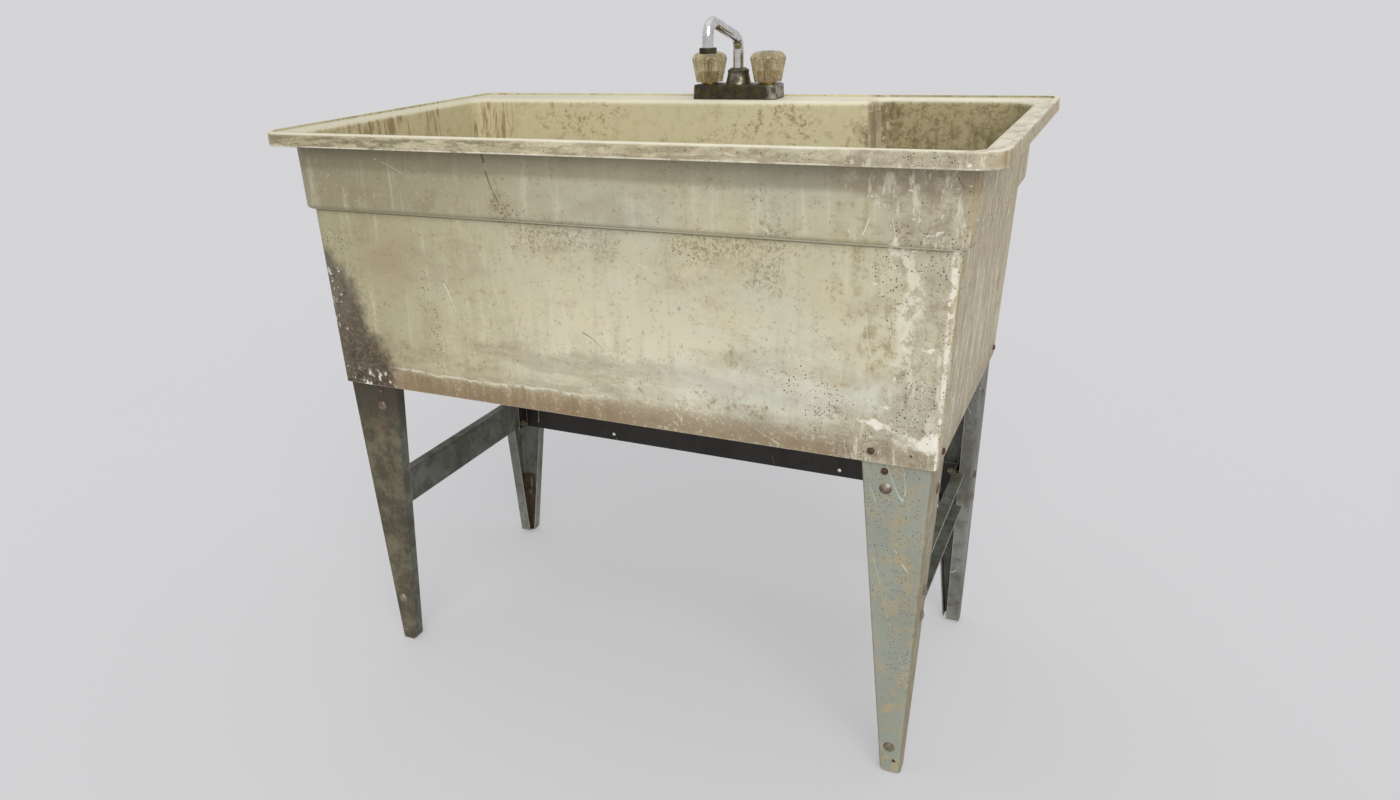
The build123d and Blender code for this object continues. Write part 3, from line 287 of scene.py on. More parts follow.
class TubFinish:
    """Old cream gelcoat, yellowed inside, stained, streaked, specked and chipped, coat on coat."""

    def __init__(self):
        self.material, self.net, self.shader, self.place = start_material("aged_tub")
        self.set_places()
        self.set_noises()
        self.set_areas()
        self.colour = self.net.mix(self.net.ramp(self.clouds, 0.35, 0.65), CREAM, CREAM_WARM)
        for coat in (self.ground, self.rim_and_band, self.pitting, self.lower_edge,
                     self.worn_corner, self.corner_grime, self.inside, self.marks):
            coat()
        self.finish()

    def set_places(self):
        """Plain coordinates, the normal, and coordinates stirred by a noise (near, wx, wz)."""
        net = self.net
        self.x, self.y, self.z = net.split(self.place)
        self.nx, self.ny, self.nz = net.split(net.node("ShaderNodeTexCoord", out=1))
        stir = net.node("ShaderNodeTexNoise", Vector=self.place, Scale=11.0, Detail=7.0,
                        Roughness=0.68, out=1)
        stir = net.node("ShaderNodeVectorMath", stir, (0.5, 0.5, 0.5), operation="SUBTRACT")
        stir = net.node("ShaderNodeVectorMath", stir, (STIR, STIR, STIR), operation="MULTIPLY")
        self.near = net.node("ShaderNodeVectorMath", self.place, stir, operation="ADD")
        self.wx, _, self.wz = net.split(self.near)

    def set_noises(self):
        """Noises that several coats share, from wide clouds to fine grain, and upright runs."""
        net, place = self.net, self.place
        self.clouds = net.noise(place, 3.4, 6.0, 0.62)
        self.grain = net.noise(place, 55.0, 7.0, 0.72)
        self.fine = net.noise(place, 190.0, 5.0, 0.75)
        self.runs = net.noise(net.stretch(place, 62, 62, 4.5), 1.0, 6.0, 0.62)
        self.coarse = net.math("ADD", self.grain, self.fine)
        self.ragged_z = self.shaken(self.shaken(self.z, self.grain, 0.014), self.clouds, 0.03)

    def set_areas(self):
        """Masks of the tub's areas, from heights and from the way that the surface faces."""
        net, z = self.net, self.z
        self.outward = net.math("ADD", net.math("MULTIPLY", self.nx, self.x),
                                net.math("MULTIPLY", self.ny, self.y))
        sided = net.ramp(net.math("ABSOLUTE", self.nz), 0.75, 0.5)
        self.inner = net.both(sided, net.ramp(self.outward, 0.01, -0.01))
        self.outer = net.both(sided, net.ramp(self.outward, -0.01, 0.01))
        self.front = net.both(self.outer, net.ramp(self.ny, -0.55, -0.8))
        self.right = net.both(self.outer, net.ramp(self.nx, 0.6, 0.85))
        self.wall = net.ramp(z, 0.7505, 0.7485)
        self.band = net.span(z, *BAND_FOOT, *RIM_FOOT)
        self.rim = net.ramp(z, 0.843, 0.8445)
        bound = net.math("ADD", net.ramp(z, 0.545, 0.505, 0.388, 0.333),
                         net.ramp(z, 0.78, 0.82, 0.0, -0.05))
        self.worn = net.both(net.ramp(net.math("SUBTRACT", self.wx, bound), -0.006, 0.014),
                             self.outer)

    def shaken(self, value, noise, reach):
        """A value moved up and down by a noise."""
        net = self.net
        return net.math("ADD", value, net.math("MULTIPLY", net.math("SUBTRACT", noise, 0.5), reach))

    def blotch(self, stretch, scale, level, softness, grain):
        """Cloudy patches on coordinates stretched and shifted."""
        return self.net.group(BLOTCH, Place=self.net.stretch(self.place, *stretch), Scale=scale,
                              Level=level, Softness=softness, Grain=grain)

    def patch(self, x, z, reach_x, reach_z):
        """Soft patch round a place on the front face."""
        net = self.net
        away = net.node("ShaderNodeVectorMath", self.near, (x, FRONT_Y, z), operation="SUBTRACT")
        away = net.node("ShaderNodeVectorMath", away, (reach_x, 0.2, reach_z), operation="DIVIDE")
        return net.ramp(net.node("ShaderNodeVectorMath", away, operation="LENGTH", out=1), 1.3, 0.5)

    def patches(self, places):
        """Several such patches as one mask."""
        return self.net.most(*(self.patch(*place) for place in places))

    def lay(self, over, share, *masks):
        """Lays a colour over the earlier ones where all the masks hold."""
        self.colour = self.net.layer(self.colour, self.net.both(*masks), over, share)

    def ground(self):
        """Cool patches, painted shade duller to the left and upward (partly dirt), faint upright
        runs and fine flecks.
        """
        ramp, wx, outer, band = self.net.ramp, self.wx, self.outer, self.band
        cool = self.blotch((1, 1, 1.4, 4.4), 5.0, 0.53, 0.09, 0.5)
        self.lay(CREAM_COOL, 0.7, cool, ramp(self.x, -0.25, 0.1), outer)
        # Painted shade, partly dirt: duller to the left and upward, the band greyer and darker,
        # most at its left end.
        self.lay(DULL, 0.80, ramp(wx, 0.05, -0.44))
        self.lay(DULL, 0.34, ramp(self.wz, 0.58, 0.74), outer)
        self.lay(DULL_GREY, 0.40, band, outer, ramp(wx, 0.12, -0.10, 0.3, 1.0))
        self.lay(DULL_DARK, 0.35, band, ramp(wx, -0.05, -0.40), outer)
        self.lay(DULL, 0.26, ramp(self.runs, 0.50, 0.72), outer)
        self.lay(CREAM_LIGHT, 0.26, ramp(self.runs, 0.46, 0.30), outer)
        self.lay(TAN, 0.5, self.patch(*TAN_PATCH))
        self.lay(MAUVE, 0.5, self.patches(BRUISES), self.front)
        self.lay(MAUVE, 0.34, self.blotch((1, 1, 1.9, 3.1), 9.0, 0.56, 0.10, 0.72), outer)
        self.lay(TAN_DARK, 0.6, outer, ramp(self.fine, 0.53, 0.62), ramp(self.grain, 0.47, 0.57))
        self.lay(CREAM_LIGHT, 0.35, outer, ramp(self.fine, 0.44, 0.34),
                 ramp(self.clouds, 0.45, 0.6))

    def rim_and_band(self):
        """Painted shadow under the rim, worn rim face with pale edges, painted shade with grime in
        the step.
        """
        net, ramp, z, wx, grain = self.net, self.net.ramp, self.z, self.wx, self.grain
        outer, band, rim = self.outer, self.band, self.rim
        # Painted shadow of the rim on the band's upper part, browner toward its right end.
        wavy = net.math("ADD", z, net.math("MULTIPLY", self.clouds, 0.012))
        rim_shadow_strip = net.both(outer, ramp(wavy, 0.812, 0.822), band)
        self.lay(DULL_DARK, 0.42, rim_shadow_strip)
        self.lay(MAUVE, 0.6, rim_shadow_strip, ramp(wx, 0.24, 0.40))
        self.lay(CREAM_WARM, 0.5, rim, outer)
        mottle = self.blotch((1, 1, 2.2, 6.2), 26.0, 0.50, 0.10, 0.85)
        self.lay(TAN_DARK, 0.55, mottle, rim, net.math("ADD", outer, 0.3, clamp=True))
        lines = net.noise(net.stretch(self.place, 22, 22, 130), 1.0, 6.0, 0.75)
        face = net.both(rim, outer, ramp(z, 0.862, 0.859))
        self.lay(DULL_DARK, 0.8, face, ramp(lines, 0.46, 0.58), ramp(wx, 0.40, -0.25, 0.30, 1.0))
        self.lay(GRIME_AND_SHADE, 0.7, face, ramp(self.fine, 0.56, 0.64), ramp(lines, 0.42, 0.54))
        self.lay(CREAM_LIGHT, 0.6, ramp(z, *RIM_EDGE), ramp(self.nz, -0.1, 0.3))
        self.lay(CHIP, 0.6, net.span(z, *RIM_HEM), outer, ramp(grain, 0.42, 0.50))
        # Painted shade just under the rim's lower edge, broken by grain.
        self.lay(GRIME_AND_SHADE, 0.35, ramp(z, 0.838, 0.8425), band, outer, ramp(grain, 0.40, 0.56))
        top = net.both(ramp(z, 0.857, 0.860), ramp(self.nz, 0.4, 0.8))
        self.lay(TAN, 0.6, top, ramp(wx, 0.455, 0.47), ramp(lines, 0.46, 0.60))
        # Dark line in the step's crease, painted shade partly grime, then painted shade on the
        # step's rounded edge.
        under = net.math("ABSOLUTE", net.math("SUBTRACT", z, BAND_LINE))
        self.lay(GRIME_AND_SHADE, 0.55, ramp(under, 0.0030, 0.0012), outer)
        self.lay(DULL_DARK, 0.45, net.span(z, *STEP_SHADE), outer)

    def pitting(self):
        """Fine pits below the band and in clusters down the wall, olive patches at the right."""
        net, ramp = self.net, self.net.ramp
        pits = self.blotch((1, 1, 0.8, 1.9), 240.0, 0.525, 0.03, 0.85)
        under_band = net.both(ramp(self.wz, 0.690, 0.735), self.wall,
                              ramp(net.noise(self.place, 6.5, 3.0), 0.50, 0.60))
        self.lay(PIT, 0.7, pits, net.most(under_band, self.patches(PITTED)), self.front)
        self.lay(OLIVE_TAN, 0.75, self.patches(OLIVE_PLACES), self.front,
                 ramp(self.grain, 0.40, 0.60), ramp(self.runs, 0.36, 0.58))

    def lower_edge(self):
        """Pale smear, and a tan fibrous strip under a chipped cream line along the skirt's edge."""
        net, ramp, wx, wz = self.net, self.net.ramp, self.wx, self.wz
        outer, front, grain, edge = self.outer, self.front, self.grain, self.ragged_z
        self.lay(PALE_BLUE, 0.4, front, net.span(wz, 0.510, 0.540, 0.560, 0.585),
                 ramp(wx, 0.05, 0.15))
        smear = self.blotch((1, 1, 3.5, 8.3), 8.0, 0.47, 0.06, 0.66)
        self.lay(MAUVE, 0.38, smear, outer, ramp(wz, 0.575, 0.555), ramp(wx, 0.15, 0.0, 0.45, 1.0))
        self.lay(TAN_DARK, 0.7, front, ramp(wz, 0.58, 0.50), ramp(wx, -0.05, 0.1),
                 ramp(grain, 0.50, 0.58), ramp(self.fine, 0.46, 0.56))
        self.lay(CREAM_LIGHT, 0.7, outer, net.span(edge, *SKIRT_LINE), ramp(wx, 0.08, -0.06),
                 ramp(grain, 0.40, 0.50))
        fibre = net.mix(ramp(self.runs, 0.40, 0.60), SKIRT_TAN, SKIRT_BROWN)
        self.lay(fibre, 0.66, outer, ramp(edge, 0.506, 0.500), ramp(wx, 0.06, -0.06, 0.20, 1.0))
        rising = net.both(outer, ramp(edge, 0.530, 0.478))
        fringe = net.math("SUBTRACT", self.fine, net.math("MULTIPLY", rising, 0.12))
        self.lay(SKIRT_BROWN, 0.75, rising, ramp(fringe, 0.50, 0.42))

    def worn_corner(self):
        """Brown grain at the right corner, a streaked right end, white runs and flakes on both."""
        net, ramp, wx, worn, right = self.net, self.net.ramp, self.wx, self.worn, self.right
        torn = net.noise(net.stretch(self.place, 1, 1, 0.55, 5.1), 24.0, 8.0, 0.80)
        brown = net.mix(ramp(self.coarse, 0.88, 1.16), BROWN_GREY, SAND_PALE)
        self.lay(brown, 0.8, worn, ramp(torn, 0.38, 0.58, 0.30, 1.0),
                 net.math("SUBTRACT", 1, right))
        self.lay(PIT, 0.55, worn, ramp(self.fine, 0.54, 0.64))
        self.lay(SAND, 0.78, right, ramp(self.runs, 0.25, 0.62))
        thin = net.noise(net.stretch(self.place, 150, 150, 5), 1.0, 5.0, 0.7)
        self.lay(TAN_DARK, 0.6, right, ramp(thin, 0.50, 0.62))
        self.lay(CREAM_LIGHT, 0.25, right, ramp(thin, 0.42, 0.34))
        self.lay(MAUVE, 0.35, right, ramp(self.grain, 0.5, 0.65))
        self.lay(CREAM_LIGHT, 0.7, net.span(wx, 0.383, 0.393, 0.405, 0.418),
                 net.span(self.wz, 0.56, 0.62, 0.735, 0.755), ramp(self.grain, 0.42, 0.52),
                 self.front)
        white_runs = self.blotch((1, 1, 0.22, 2.6), 75.0, 0.575, 0.03, 0.74)
        self.lay(CREAM_LIGHT, 0.5, white_runs, net.most(worn, net.math("MULTIPLY", right, 0.9)))
        turn = net.math("MULTIPLY", self.nx, self.ny)
        ridge = net.both(ramp(turn, -0.40, -0.48), self.outer, self.wall, ramp(self.x, 0.3, 0.35))
        self.lay(CHIP, 0.7, ridge, ramp(self.grain, 0.47, 0.53))
        self.lay(CHIP, 0.8, self.blotch((1, 1, 1.5, 9.1), 62.0, 0.64, 0.012, 0.7), worn)
        self.lay(CHIP, 0.85, self.patches(SCARS), self.front)

    def corner_grime(self):
        """Grime down the left corner, grey above, near black below, with chips along its edge."""
        net, ramp = self.net, self.net.ramp
        corner = net.both(self.wall, self.outer)
        lower = net.math("MULTIPLY", net.math("SUBTRACT", 0.66, self.z), 0.46)
        past = net.math("SUBTRACT", self.wx, net.math("ADD", -0.424, lower))
        dirt = net.both(ramp(past, 0.016, -0.012), ramp(self.wz, 0.70, 0.665), corner)
        dark = net.mix(ramp(self.wz, 0.55, 0.63), GRIME_AND_SHADE, GRIME_GREY)
        dark = net.layer(dark, ramp(self.clouds, 0.46, 0.56), GRIME_GREY, 0.5)
        dark = net.layer(dark, ramp(self.grain, 0.52, 0.42), INK, 0.6)
        self.lay(dark, 0.96, dirt)
        self.lay(TAN_DARK, 0.5, ramp(past, 0.065, 0.0), ramp(self.wz, 0.68, 0.62), corner,
                 ramp(self.fine, 0.48, 0.60))
        along = net.most(ramp(self.x, -0.415, -0.43), ramp(self.ragged_z, 0.505, 0.49))
        self.lay(CHIP, 0.85, self.blotch((1, 1, 0.7, 3.7), 85.0, 0.585, 0.012, 0.7), dirt, along)

    def inside(self):
        """Yellower, rusty fibres down the left wall, brown at the step, olive in the recess."""
        net, ramp, place, inner = self.net, self.net.ramp, self.place, self.inner
        self.lay(INSIDE, 0.85, inner)
        self.lay(INSIDE_DULL, 0.5, inner, ramp(self.grain, 0.48, 0.66))
        left_wall = net.both(inner, ramp(self.x, -0.38, -0.43), ramp(self.y, -0.20, -0.10))
        fibres = net.noise(net.stretch(place, 130, 130, 9), 1.0, 5.0, 0.7)
        self.lay(RUST_PALE, 0.85, left_wall, ramp(fibres, 0.47, 0.58),
                 ramp(net.noise(place, 9.0, 4.0), 0.38, 0.50))
        some = net.noise(net.stretch(place, 1, 1, 1, 2.2), 7.0, 4.0)
        self.lay(RUST_PALE, 0.6, inner, ramp(self.shaken(self.z, self.clouds, 0.12), 0.70, 0.80),
                 ramp(self.coarse, 1.02, 1.12), ramp(some, 0.44, 0.56))
        recess = net.both(inner, ramp(self.x, 0.25, 0.275), ramp(self.y, 0.0, 0.12))
        self.lay(INSIDE_OLIVE, 0.70, recess)
        self.lay(RECESS_DARK, 0.75, recess, ramp(self.runs, 0.40, 0.60), ramp(self.wz, 0.85, 0.79))
        bend = net.both(net.span(self.wx, 0.225, 0.248, 0.262, 0.278), ramp(self.y, 0.15, 0.2))
        self.lay(RECESS_DARK, 0.8, inner, bend, ramp(self.grain, 0.36, 0.52))
        self.lay(RECESS_DARK, 0.55, recess, ramp(self.coarse, 0.98, 1.10))
        bottom = net.both(ramp(self.nz, 0.5, 0.8), ramp(self.z, 0.60, 0.54))
        self.lay(INSIDE_OLIVE, 0.55, net.most(net.both(inner, ramp(self.wz, 0.78, 0.56)), bottom))
        self.lay(RUST_PALE, 0.4, bottom, ramp(self.grain, 0.46, 0.60))
        away = net.node("ShaderNodeVectorMath", self.near, DRAIN, operation="DISTANCE", out=1)
        self.lay(RUST, 0.45, ramp(away, 0.10, 0.055))
        lip = net.both(ramp(self.z, 0.835, 0.852), net.span(self.nz, 0.25, 0.6, 0.9, 0.99))
        self.lay(CREAM_LIGHT, 0.55, lip, ramp(self.outward, 0.02, -0.02))

    def marks(self):
        """Specks in clusters, thin scratches, worn and grimy edges."""
        net, place = self.net, self.place
        crowd = net.most(self.patches(SPECKED), net.math("MULTIPLY", self.worn, 0.42))
        level = net.math("SUBTRACT", 0.66, net.math("MULTIPLY", crowd, 0.30))
        specks = net.group(SPECK, Place=place, Scale=330.0, Size=0.42, Cluster=7.0, Level=level)
        dots = net.group(SPECK, Place=net.stretch(place, 1, 1, 1, 5.0), Scale=190.0, Size=0.22,
                         Cluster=5.0, Level=net.math("ADD", level, 0.02))
        self.specks = net.math("ADD", specks, dots)
        self.lay(INK, 0.75, specks)
        self.lay(INK, 0.75, dots)
        for over, share, shift, scale, width, turn, level in (
                (CREAM_LIGHT, 0.7, 0.0, 8.0, 0.0008, 1.0, 0.64),
                (CREAM_LIGHT, 0.7, 2.3, 10.0, 0.0009, 0.15, 0.63),
                (GRIME_AND_SHADE, 0.6, 6.7, 9.0, 0.0009, 0.5, 0.62)):
            self.lay(over, share, net.group(SCRATCH, Place=net.stretch(place, 1, 1, 1, shift),
                                            Scale=scale, Width=width, Turn=turn, Level=level))
        self.lay(CHIP, 0.45, net.group(EDGE, Place=place, Width=0.003, Amount=0.34, Scale=60.0))
        self.lay(GRIME_AND_SHADE, 0.5, net.group(EDGE, Place=net.stretch(place, 1, 1, 1, 4.0), Width=0.002,
                                       Amount=0.22, Scale=45.0))

    def finish(self):
        """Joins the coats to the shader, with a thin dull coat and pits where the specks are."""
        net = self.net
        height = net.math("SUBTRACT", net.math("MULTIPLY", self.fine, 0.35), self.specks)
        finish_material(net, self.shader, self.colour, net.ramp(self.grain, 0.3, 0.7, 0.45, 0.68),
                        height, 0.32, 0.0006)
        self.shader.inputs["Coat Weight"].default_value = 0.08
        self.shader.inputs["Coat Roughness"].default_value = 0.4


# ---- Sheet metal finishes --------------------------------------------------------------------
def worn_paint(name, paint, under, soil, soil_level, rust_level=0.62, side=None, top_soil=0.0,
               painted_shade_inward=None):
    """Old paint on folded sheet: cloudy, specked, soiled, rusting at its edges, and where asked
    painted shade on its inward faces.
    """
    material, net, shader, place = start_material(name)
    height_up = net.split(place)[2]
    facing_x = net.split(net.node("ShaderNodeTexCoord", out=1))[0]
    clouds = net.noise(net.stretch(place, 1, 1, 0.45), 14.0, 7.0, 0.65)
    colour = net.mix(net.ramp(clouds, 0.35, 0.7), paint, under)
    if side:
        colour = net.layer(colour, net.ramp(net.math("ABSOLUTE", facing_x), 0.5, 0.8), side, 0.8)
    # Painted shade: faces turned toward -x get a near black colour.
    if painted_shade_inward:
        colour = net.layer(colour, net.ramp(facing_x, -0.5, -0.8), painted_shade_inward, 0.9)
    mottle = net.group(BLOTCH, Place=place, Scale=38.0, Level=soil_level, Softness=0.1, Grain=0.75)
    colour = net.layer(colour, mottle, soil, 0.75)
    if top_soil:
        high = net.ramp(net.math("ADD", height_up, net.math("MULTIPLY", clouds, 0.12)), 0.40, 0.52)
        colour = net.layer(colour, high, soil, top_soil)
    fine = net.noise(place, 420.0, 4.0, 0.7)
    colour = net.layer(colour, net.ramp(fine, 0.5, 0.68), soil, 0.35)
    rusty = net.group(BLOTCH, Place=net.stretch(place, 1, 1, 0.35, 5.5), Scale=24.0,
                      Level=rust_level, Softness=0.05, Grain=0.8)
    colour = net.layer(colour, rusty, RUST, 0.75)
    specks = net.group(SPECK, Place=place, Scale=420.0, Size=0.42, Cluster=9.0, Level=0.5)
    colour = net.layer(colour, specks, INK, 0.6)
    marks = net.group(SCRATCH, Place=place, Scale=14.0, Width=0.0018, Turn=0.3, Level=0.56)
    colour = net.layer(colour, marks, CHIP, 0.35)
    edge = net.group(EDGE, Place=place, Width=0.0022, Amount=0.5, Scale=55.0)
    colour = net.layer(colour, edge, RUST, 0.75)
    lip = net.group(EDGE, Place=net.stretch(place, 1, 1, 1, 8.0), Width=0.0018, Amount=0.38,
                    Scale=70.0)
    colour = net.layer(colour, lip, CHIP, 0.6)
    rough = net.ramp(clouds, 0.3, 0.7, 0.45, 0.68)
    height = net.math("SUBTRACT", net.math("MULTIPLY", fine, 0.4), net.math("ADD", specks, rusty))
    finish_material(net, shader, colour, rough, height, 0.3, 0.0005)
    return material


PAINTED_HIGHLIGHT_SPAN = (0.070, 0.088)             # metres to the right of the middle where the plate's curved end gets a painted highlight


def bare_metal(name, bright, dull, stain, rough_low, rough_high, stain_level, metallic=1.0,
               scale=60.0, pits=0.3, painted_highlight=None):
    """Metal with cloudy tarnish, small pits and, where asked, a painted highlight at one end."""
    material, net, shader, place = start_material(name)
    clouds = net.noise(place, scale, 6.0, 0.65)
    colour = net.mix(net.ramp(clouds, 0.35, 0.7), bright, dull)
    # Painted highlight on the curved end of the plate.
    if painted_highlight:
        across = net.math("ADD", net.split(place)[0], net.math("MULTIPLY", clouds, 0.01))
        end = net.ramp(across, *PAINTED_HIGHLIGHT_SPAN)
        colour = net.layer(colour, end, painted_highlight, 0.85)
    tarnish = net.group(BLOTCH, Place=net.stretch(place, 1, 1, 0.8, 2.7), Scale=scale * 1.4,
                        Level=stain_level, Softness=0.07, Grain=0.7)
    colour = net.layer(colour, tarnish, stain, 0.85)
    specks = net.group(SPECK, Place=place, Scale=scale * 9, Size=pits, Cluster=scale * 0.6,
                       Level=0.45)
    colour = net.layer(colour, specks, stain, 0.8)
    rough = net.math("ADD", net.ramp(clouds, 0.3, 0.75, rough_low, rough_high),
                     net.math("MULTIPLY", tarnish, 0.2))
    bare = net.math("SUBTRACT", metallic, net.math("MULTIPLY", tarnish, 0.55 * metallic))
    height = net.math("SUBTRACT", net.math("MULTIPLY", clouds, 0.2), specks)
    finish_material(net, shader, colour, rough, height, 0.2, 0.0003, bare)
    return material


def moulded(name, colour_a, colour_b, soil, rough=0.5):
    """Moulded plastic or rubber, lightly soiled."""
    material, net, shader, place = start_material(name)
    clouds = net.noise(place, 40.0, 5.0, 0.6)
    colour = net.mix(net.ramp(clouds, 0.35, 0.7), colour_a, colour_b)
    soiled = net.group(BLOTCH, Place=place, Scale=70.0, Level=0.56, Softness=0.12, Grain=0.7)
    colour = net.layer(colour, soiled, soil, 0.5)
    fine = net.noise(place, 700.0, 3.0, 0.6)
    finish_material(net, shader, colour, net.ramp(clouds, 0.3, 0.7, rough - 0.08, rough + 0.12),
                    fine, 0.12, 0.0002)
    return material


def clear_acrylic():
    """Clear acrylic gone yellow, with crazing and grime in its flutes."""
    material, net, shader, place = start_material("clear_acrylic")
    clouds = net.noise(place, 90.0, 6.0, 0.7)
    colour = net.mix(net.ramp(clouds, 0.35, 0.7), tone(226, 214, 176), tone(190, 172, 122))
    haze = net.group(BLOTCH, Place=net.stretch(place, 1, 1, 0.3), Scale=150.0, Level=0.54,
                     Softness=0.08, Grain=0.7)
    colour = net.layer(colour, haze, tone(150, 132, 86), 0.6)
    finish_material(net, shader, colour, net.ramp(clouds, 0.3, 0.7, 0.12, 0.34),
                    net.noise(place, 260.0, 4.0, 0.6), 0.25, 0.0004)
    shader.inputs["Transmission Weight"].default_value = 0.72
    shader.inputs["IOR"].default_value = 1.45
    return material


SHEET = {
    "leg_front_right": worn_paint("leg_paint_front_right", BLUE_GREY, tone(134, 138, 126), SAND,
                                  0.56, 0.68, side=tone(124, 112, 82)),
    "leg_front_left": worn_paint("leg_paint_front_left", tone(104, 99, 76), tone(80, 74, 52),
                                 tone(54, 46, 29), 0.50, 0.66, side=tone(96, 100, 92),
                                 top_soil=0.95),
    "leg_back_left": worn_paint("leg_paint_back_left", tone(128, 132, 124), tone(98, 100, 92),
                                tone(84, 76, 58), 0.56, 0.66),
    # The rear right leg's inner side gets painted shade.
    "leg_back_right": worn_paint("leg_paint_back_right", tone(122, 126, 120), tone(92, 92, 84),
                                 tone(80, 72, 54), 0.55, 0.63, painted_shade_inward=tone(16, 15, 12)),
    "brace": worn_paint("brace_paint", tone(98, 104, 94), tone(70, 74, 64), tone(56, 52, 38),
                        0.52, 0.64),
    # Near black rail paint: painted shade under the tub.
    "rail": worn_paint("rail_painted_shade", tone(34, 31, 25), tone(24, 22, 17), tone(18, 16, 12),
                       0.5, 0.70),
}
METAL = {
    "fastener": bare_metal("dull_bolt", tone(150, 144, 128), tone(112, 104, 86), tone(88, 66, 46),
                           0.42, 0.6, 0.52, 0.7),
    "skirt_screw": bare_metal("rusty_screw", tone(118, 98, 82), tone(86, 66, 52),
                              tone(70, 44, 32), 0.5, 0.7, 0.46, 0.5),
    "foot": bare_metal("foot_steel", tone(120, 114, 98), tone(82, 76, 62), tone(92, 62, 38), 0.45,
                       0.65, 0.5, 0.6),
    "chrome": bare_metal("pitted_chrome", tone(222, 222, 222), tone(186, 184, 178),
                         tone(96, 86, 66), 0.05, 0.16, 0.66, scale=45.0, pits=0.42),
    "hub": bare_metal("dull_chrome", tone(142, 138, 120), tone(84, 79, 60), tone(52, 46, 28),
                      0.16, 0.34, 0.5),
    # The cover plate's curved right end gets a painted highlight.
    "plate": bare_metal("tarnished_plate", tone(84, 78, 50), tone(56, 50, 28), tone(34, 28, 14),
                        0.3, 0.5, 0.50, 0.55, painted_highlight=tone(168, 164, 148)),
    "brass": bare_metal("aged_brass", tone(188, 158, 92), tone(146, 116, 62), tone(92, 78, 48),
                        0.28, 0.46, 0.56),
    "steel": bare_metal("drain_steel", tone(176, 174, 168), tone(142, 138, 128),
                        tone(96, 74, 50), 0.24, 0.42, 0.58),
}
RUBBER = moulded("black_rubber", tone(44, 43, 41), tone(30, 29, 28), tone(70, 64, 52), 0.65)
PLASTIC = moulded("white_plastic", tone(206, 204, 196), tone(188, 184, 170), tone(140, 126, 98))
CAP = moulded("cap_plastic", tone(206, 196, 164), tone(182, 168, 128), tone(120, 102, 66), 0.3)
ACRYLIC = clear_acrylic()
TUB = TubFinish().material

FINISHES = {
    "basin": TUB,
    **{n: SHEET[n] for n in SHEET if n.startswith("leg_")},
    **{n: SHEET["brace"] for n in ("brace_left", "brace_right")},
    "back_rail": SHEET["rail"],
    **{n: METAL["foot"] for n in nodes if n.startswith("foot_")},
    **{n: METAL["fastener"] for n in ("clamp_bolts", "clamp_nuts", "leg_bolts", "leg_nuts",
                                      "brace_bolts", "brace_nuts", "handle_screw_hot",
                                      "handle_screw_cold")},
    **{n: METAL["skirt_screw"] for n in ("skirt_screws", "leg_screws")},
    **{n: METAL["steel"] for n in ("drain_strainer", "aerator_screen")},
    "spout": METAL["chrome"],
    **{n: METAL["hub"] for n in ("spout_hub", "spout_nut")},
    **{n: METAL["plate"] for n in ("tap_cover", "end_nut")},
    **{n: METAL["brass"] for n in ("tap_body", "bonnets", "packing_nuts", "stem_hot",
                                   "stem_cold")},
    **{n: RUBBER for n in ("drain_gasket", "tap_pad", "shank_washers", "seat_washer_hot",
                           "seat_washer_cold", "o_ring")},
    **{n: PLASTIC for n in ("drain_locknut", "tail_washer", "tail_nut", "tailpiece",
                            "shank_nuts")},
    **{n: CAP for n in ("index_cap_hot", "index_cap_cold")},
    **{n: ACRYLIC for n in ("handle_hot", "handle_cold")},
}
for name, piece in nodes.items():
    piece.data.materials.clear()
    piece.data.materials.append(FINISHES[name])


# ---- Floor, light and camera -----------------------------------------------------------------
BACKDROP = tone(213, 212, 215)      # what the camera sees beyond the sink
FLOOR_SHARE = 0.6                   # part of the light that a plain floor would give back
FLOOR_GLOW = 0.45                   # part of that which the floor gives by itself, to soften shade
FLOOR_REACH = 40                    # half the floor's width, in metres
# Each light: its name, the way it shines, its share of the light, its spread in degrees
LIGHTS = (("key", (-0.40, 0.78, -0.60), 0.74, 50), ("top", (0.15, -0.1, -1.0), 0.26, 80))
IMAGE = (1400, 800)                 # size that the camera was fitted for, in pixels
FOCAL = 1070.962                    # its focal length, in those pixels
CENTRE = (605.222, 341.64)          # point of the image straight ahead of it
YAW, PITCH, ROLL = -0.478, 0.311, -0.039        # the way it faces, in radians
EYE = (0.639123, -1.460531, 1.028879)           # its place, in metres


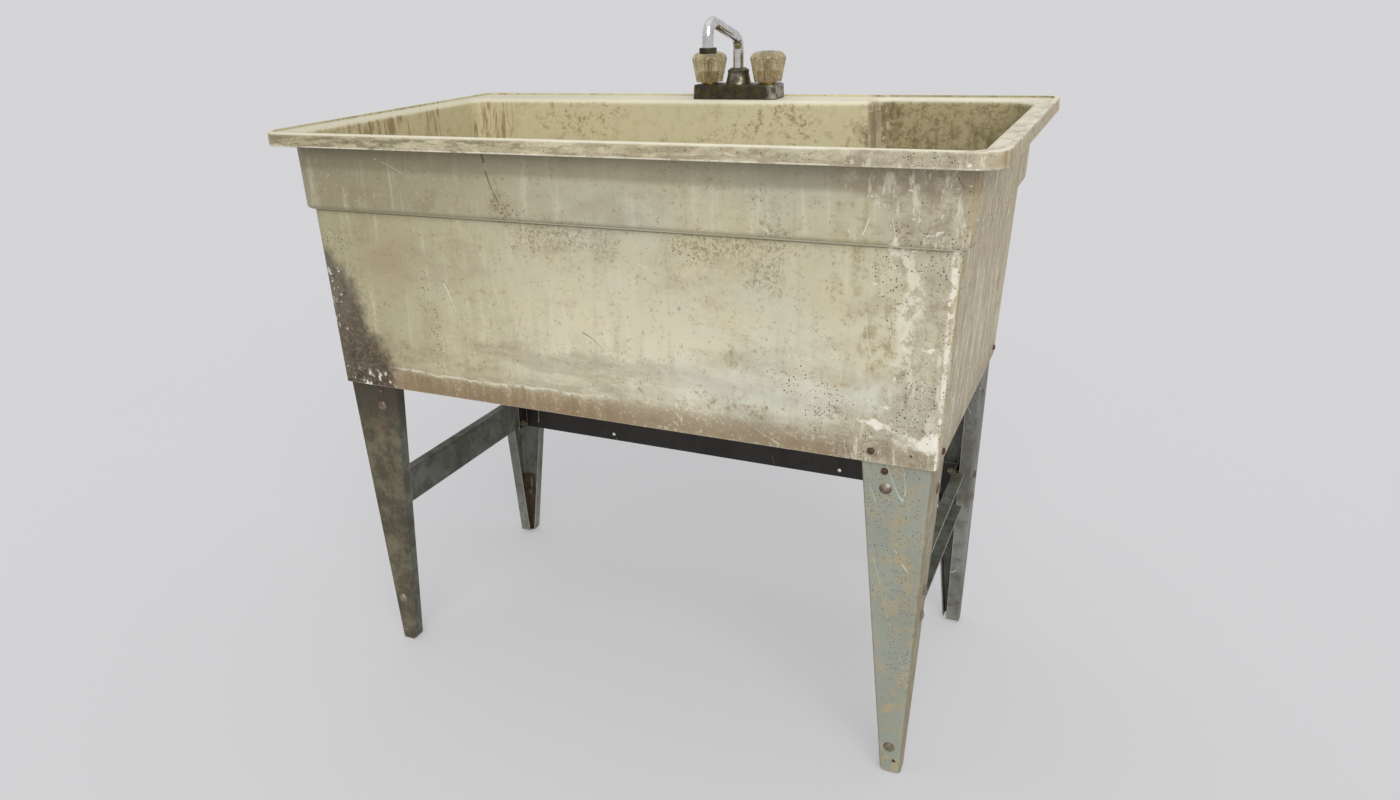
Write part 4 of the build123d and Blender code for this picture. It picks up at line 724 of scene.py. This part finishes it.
def pale_floor():
    """Wide level floor, which gives back as much light as the studio round it shows."""
    mesh = bpy.data.meshes.new("floor")
    corners = [(x * FLOOR_REACH, y * FLOOR_REACH, 0)
               for x, y in ((-1, -1), (1, -1), (1, 1), (-1, 1))]
    mesh.from_pydata(corners, [], [(0, 1, 2, 3)])
    floor = bpy.data.objects.new("floor", mesh)
    scene.collection.objects.link(floor)
    material, net, shader, place = start_material("pale_floor")
    clouds = net.noise(place, 0.5, 2.0)
    share = FLOOR_SHARE * (1 - FLOOR_GLOW)
    pale, deep = share * 1.02, share * 0.97
    colour = net.mix(clouds, (pale, pale, pale, 1), (deep, deep, deep, 1))
    finish_material(net, shader, colour, 1.0)
    shader.inputs["Specular IOR Level"].default_value = 0.0
    shader.inputs["Emission Color"].default_value = BACKDROP
    shader.inputs["Emission Strength"].default_value = FLOOR_GLOW
    mesh.materials.append(material)


def sun(name, towards, strength, spread):
    """Wide soft light from far away, shining along `towards`."""
    light = bpy.data.lights.new(name, "SUN")
    light.energy, light.angle = strength, math.radians(spread)
    lamp = bpy.data.objects.new(name, light)
    lamp.rotation_euler = Vector(towards).to_track_quat("-Z", "Y").to_euler()
    scene.collection.objects.link(lamp)


def studio():
    """Even pale surroundings and two wide soft lights, from the front right and from above."""
    world = bpy.data.worlds.new("studio")
    world.use_nodes = True
    world.node_tree.nodes["Background"].inputs["Color"].default_value = BACKDROP
    world.node_tree.nodes["Background"].inputs["Strength"].default_value = 1.0
    scene.world = world
    scene.view_settings.view_transform = "Standard"
    missing = BACKDROP[1] * (1 / FLOOR_SHARE - 1) * math.pi
    for name, towards, share, spread in LIGHTS:
        down = -Vector(towards).normalized().z
        sun(name, towards, missing * share / down, spread)


def photo_camera():
    """Camera fitted to the picture."""
    ahead = Vector((math.sin(YAW) * math.cos(PITCH), math.cos(YAW) * math.cos(PITCH),
                    -math.sin(PITCH)))
    level = Vector((math.cos(YAW), -math.sin(YAW), 0))
    up = level.cross(ahead)
    right = level * math.cos(ROLL) + up * math.sin(ROLL)
    up = up * math.cos(ROLL) - level * math.sin(ROLL)
    data = bpy.data.cameras.new("photo_camera")
    data.sensor_width = 36
    data.lens = FOCAL / IMAGE[0] * data.sensor_width
    data.shift_x = (IMAGE[0] / 2 - CENTRE[0]) / IMAGE[0]
    data.shift_y = (CENTRE[1] - IMAGE[1] / 2) / IMAGE[0]
    camera = bpy.data.objects.new("photo_camera", data)
    camera.matrix_world = Matrix.Translation(EYE) @ Matrix(
        (right, up, -ahead)).transposed().to_4x4()
    scene.collection.objects.link(camera)
    scene.camera = camera


pale_floor()
studio()
photo_camera()
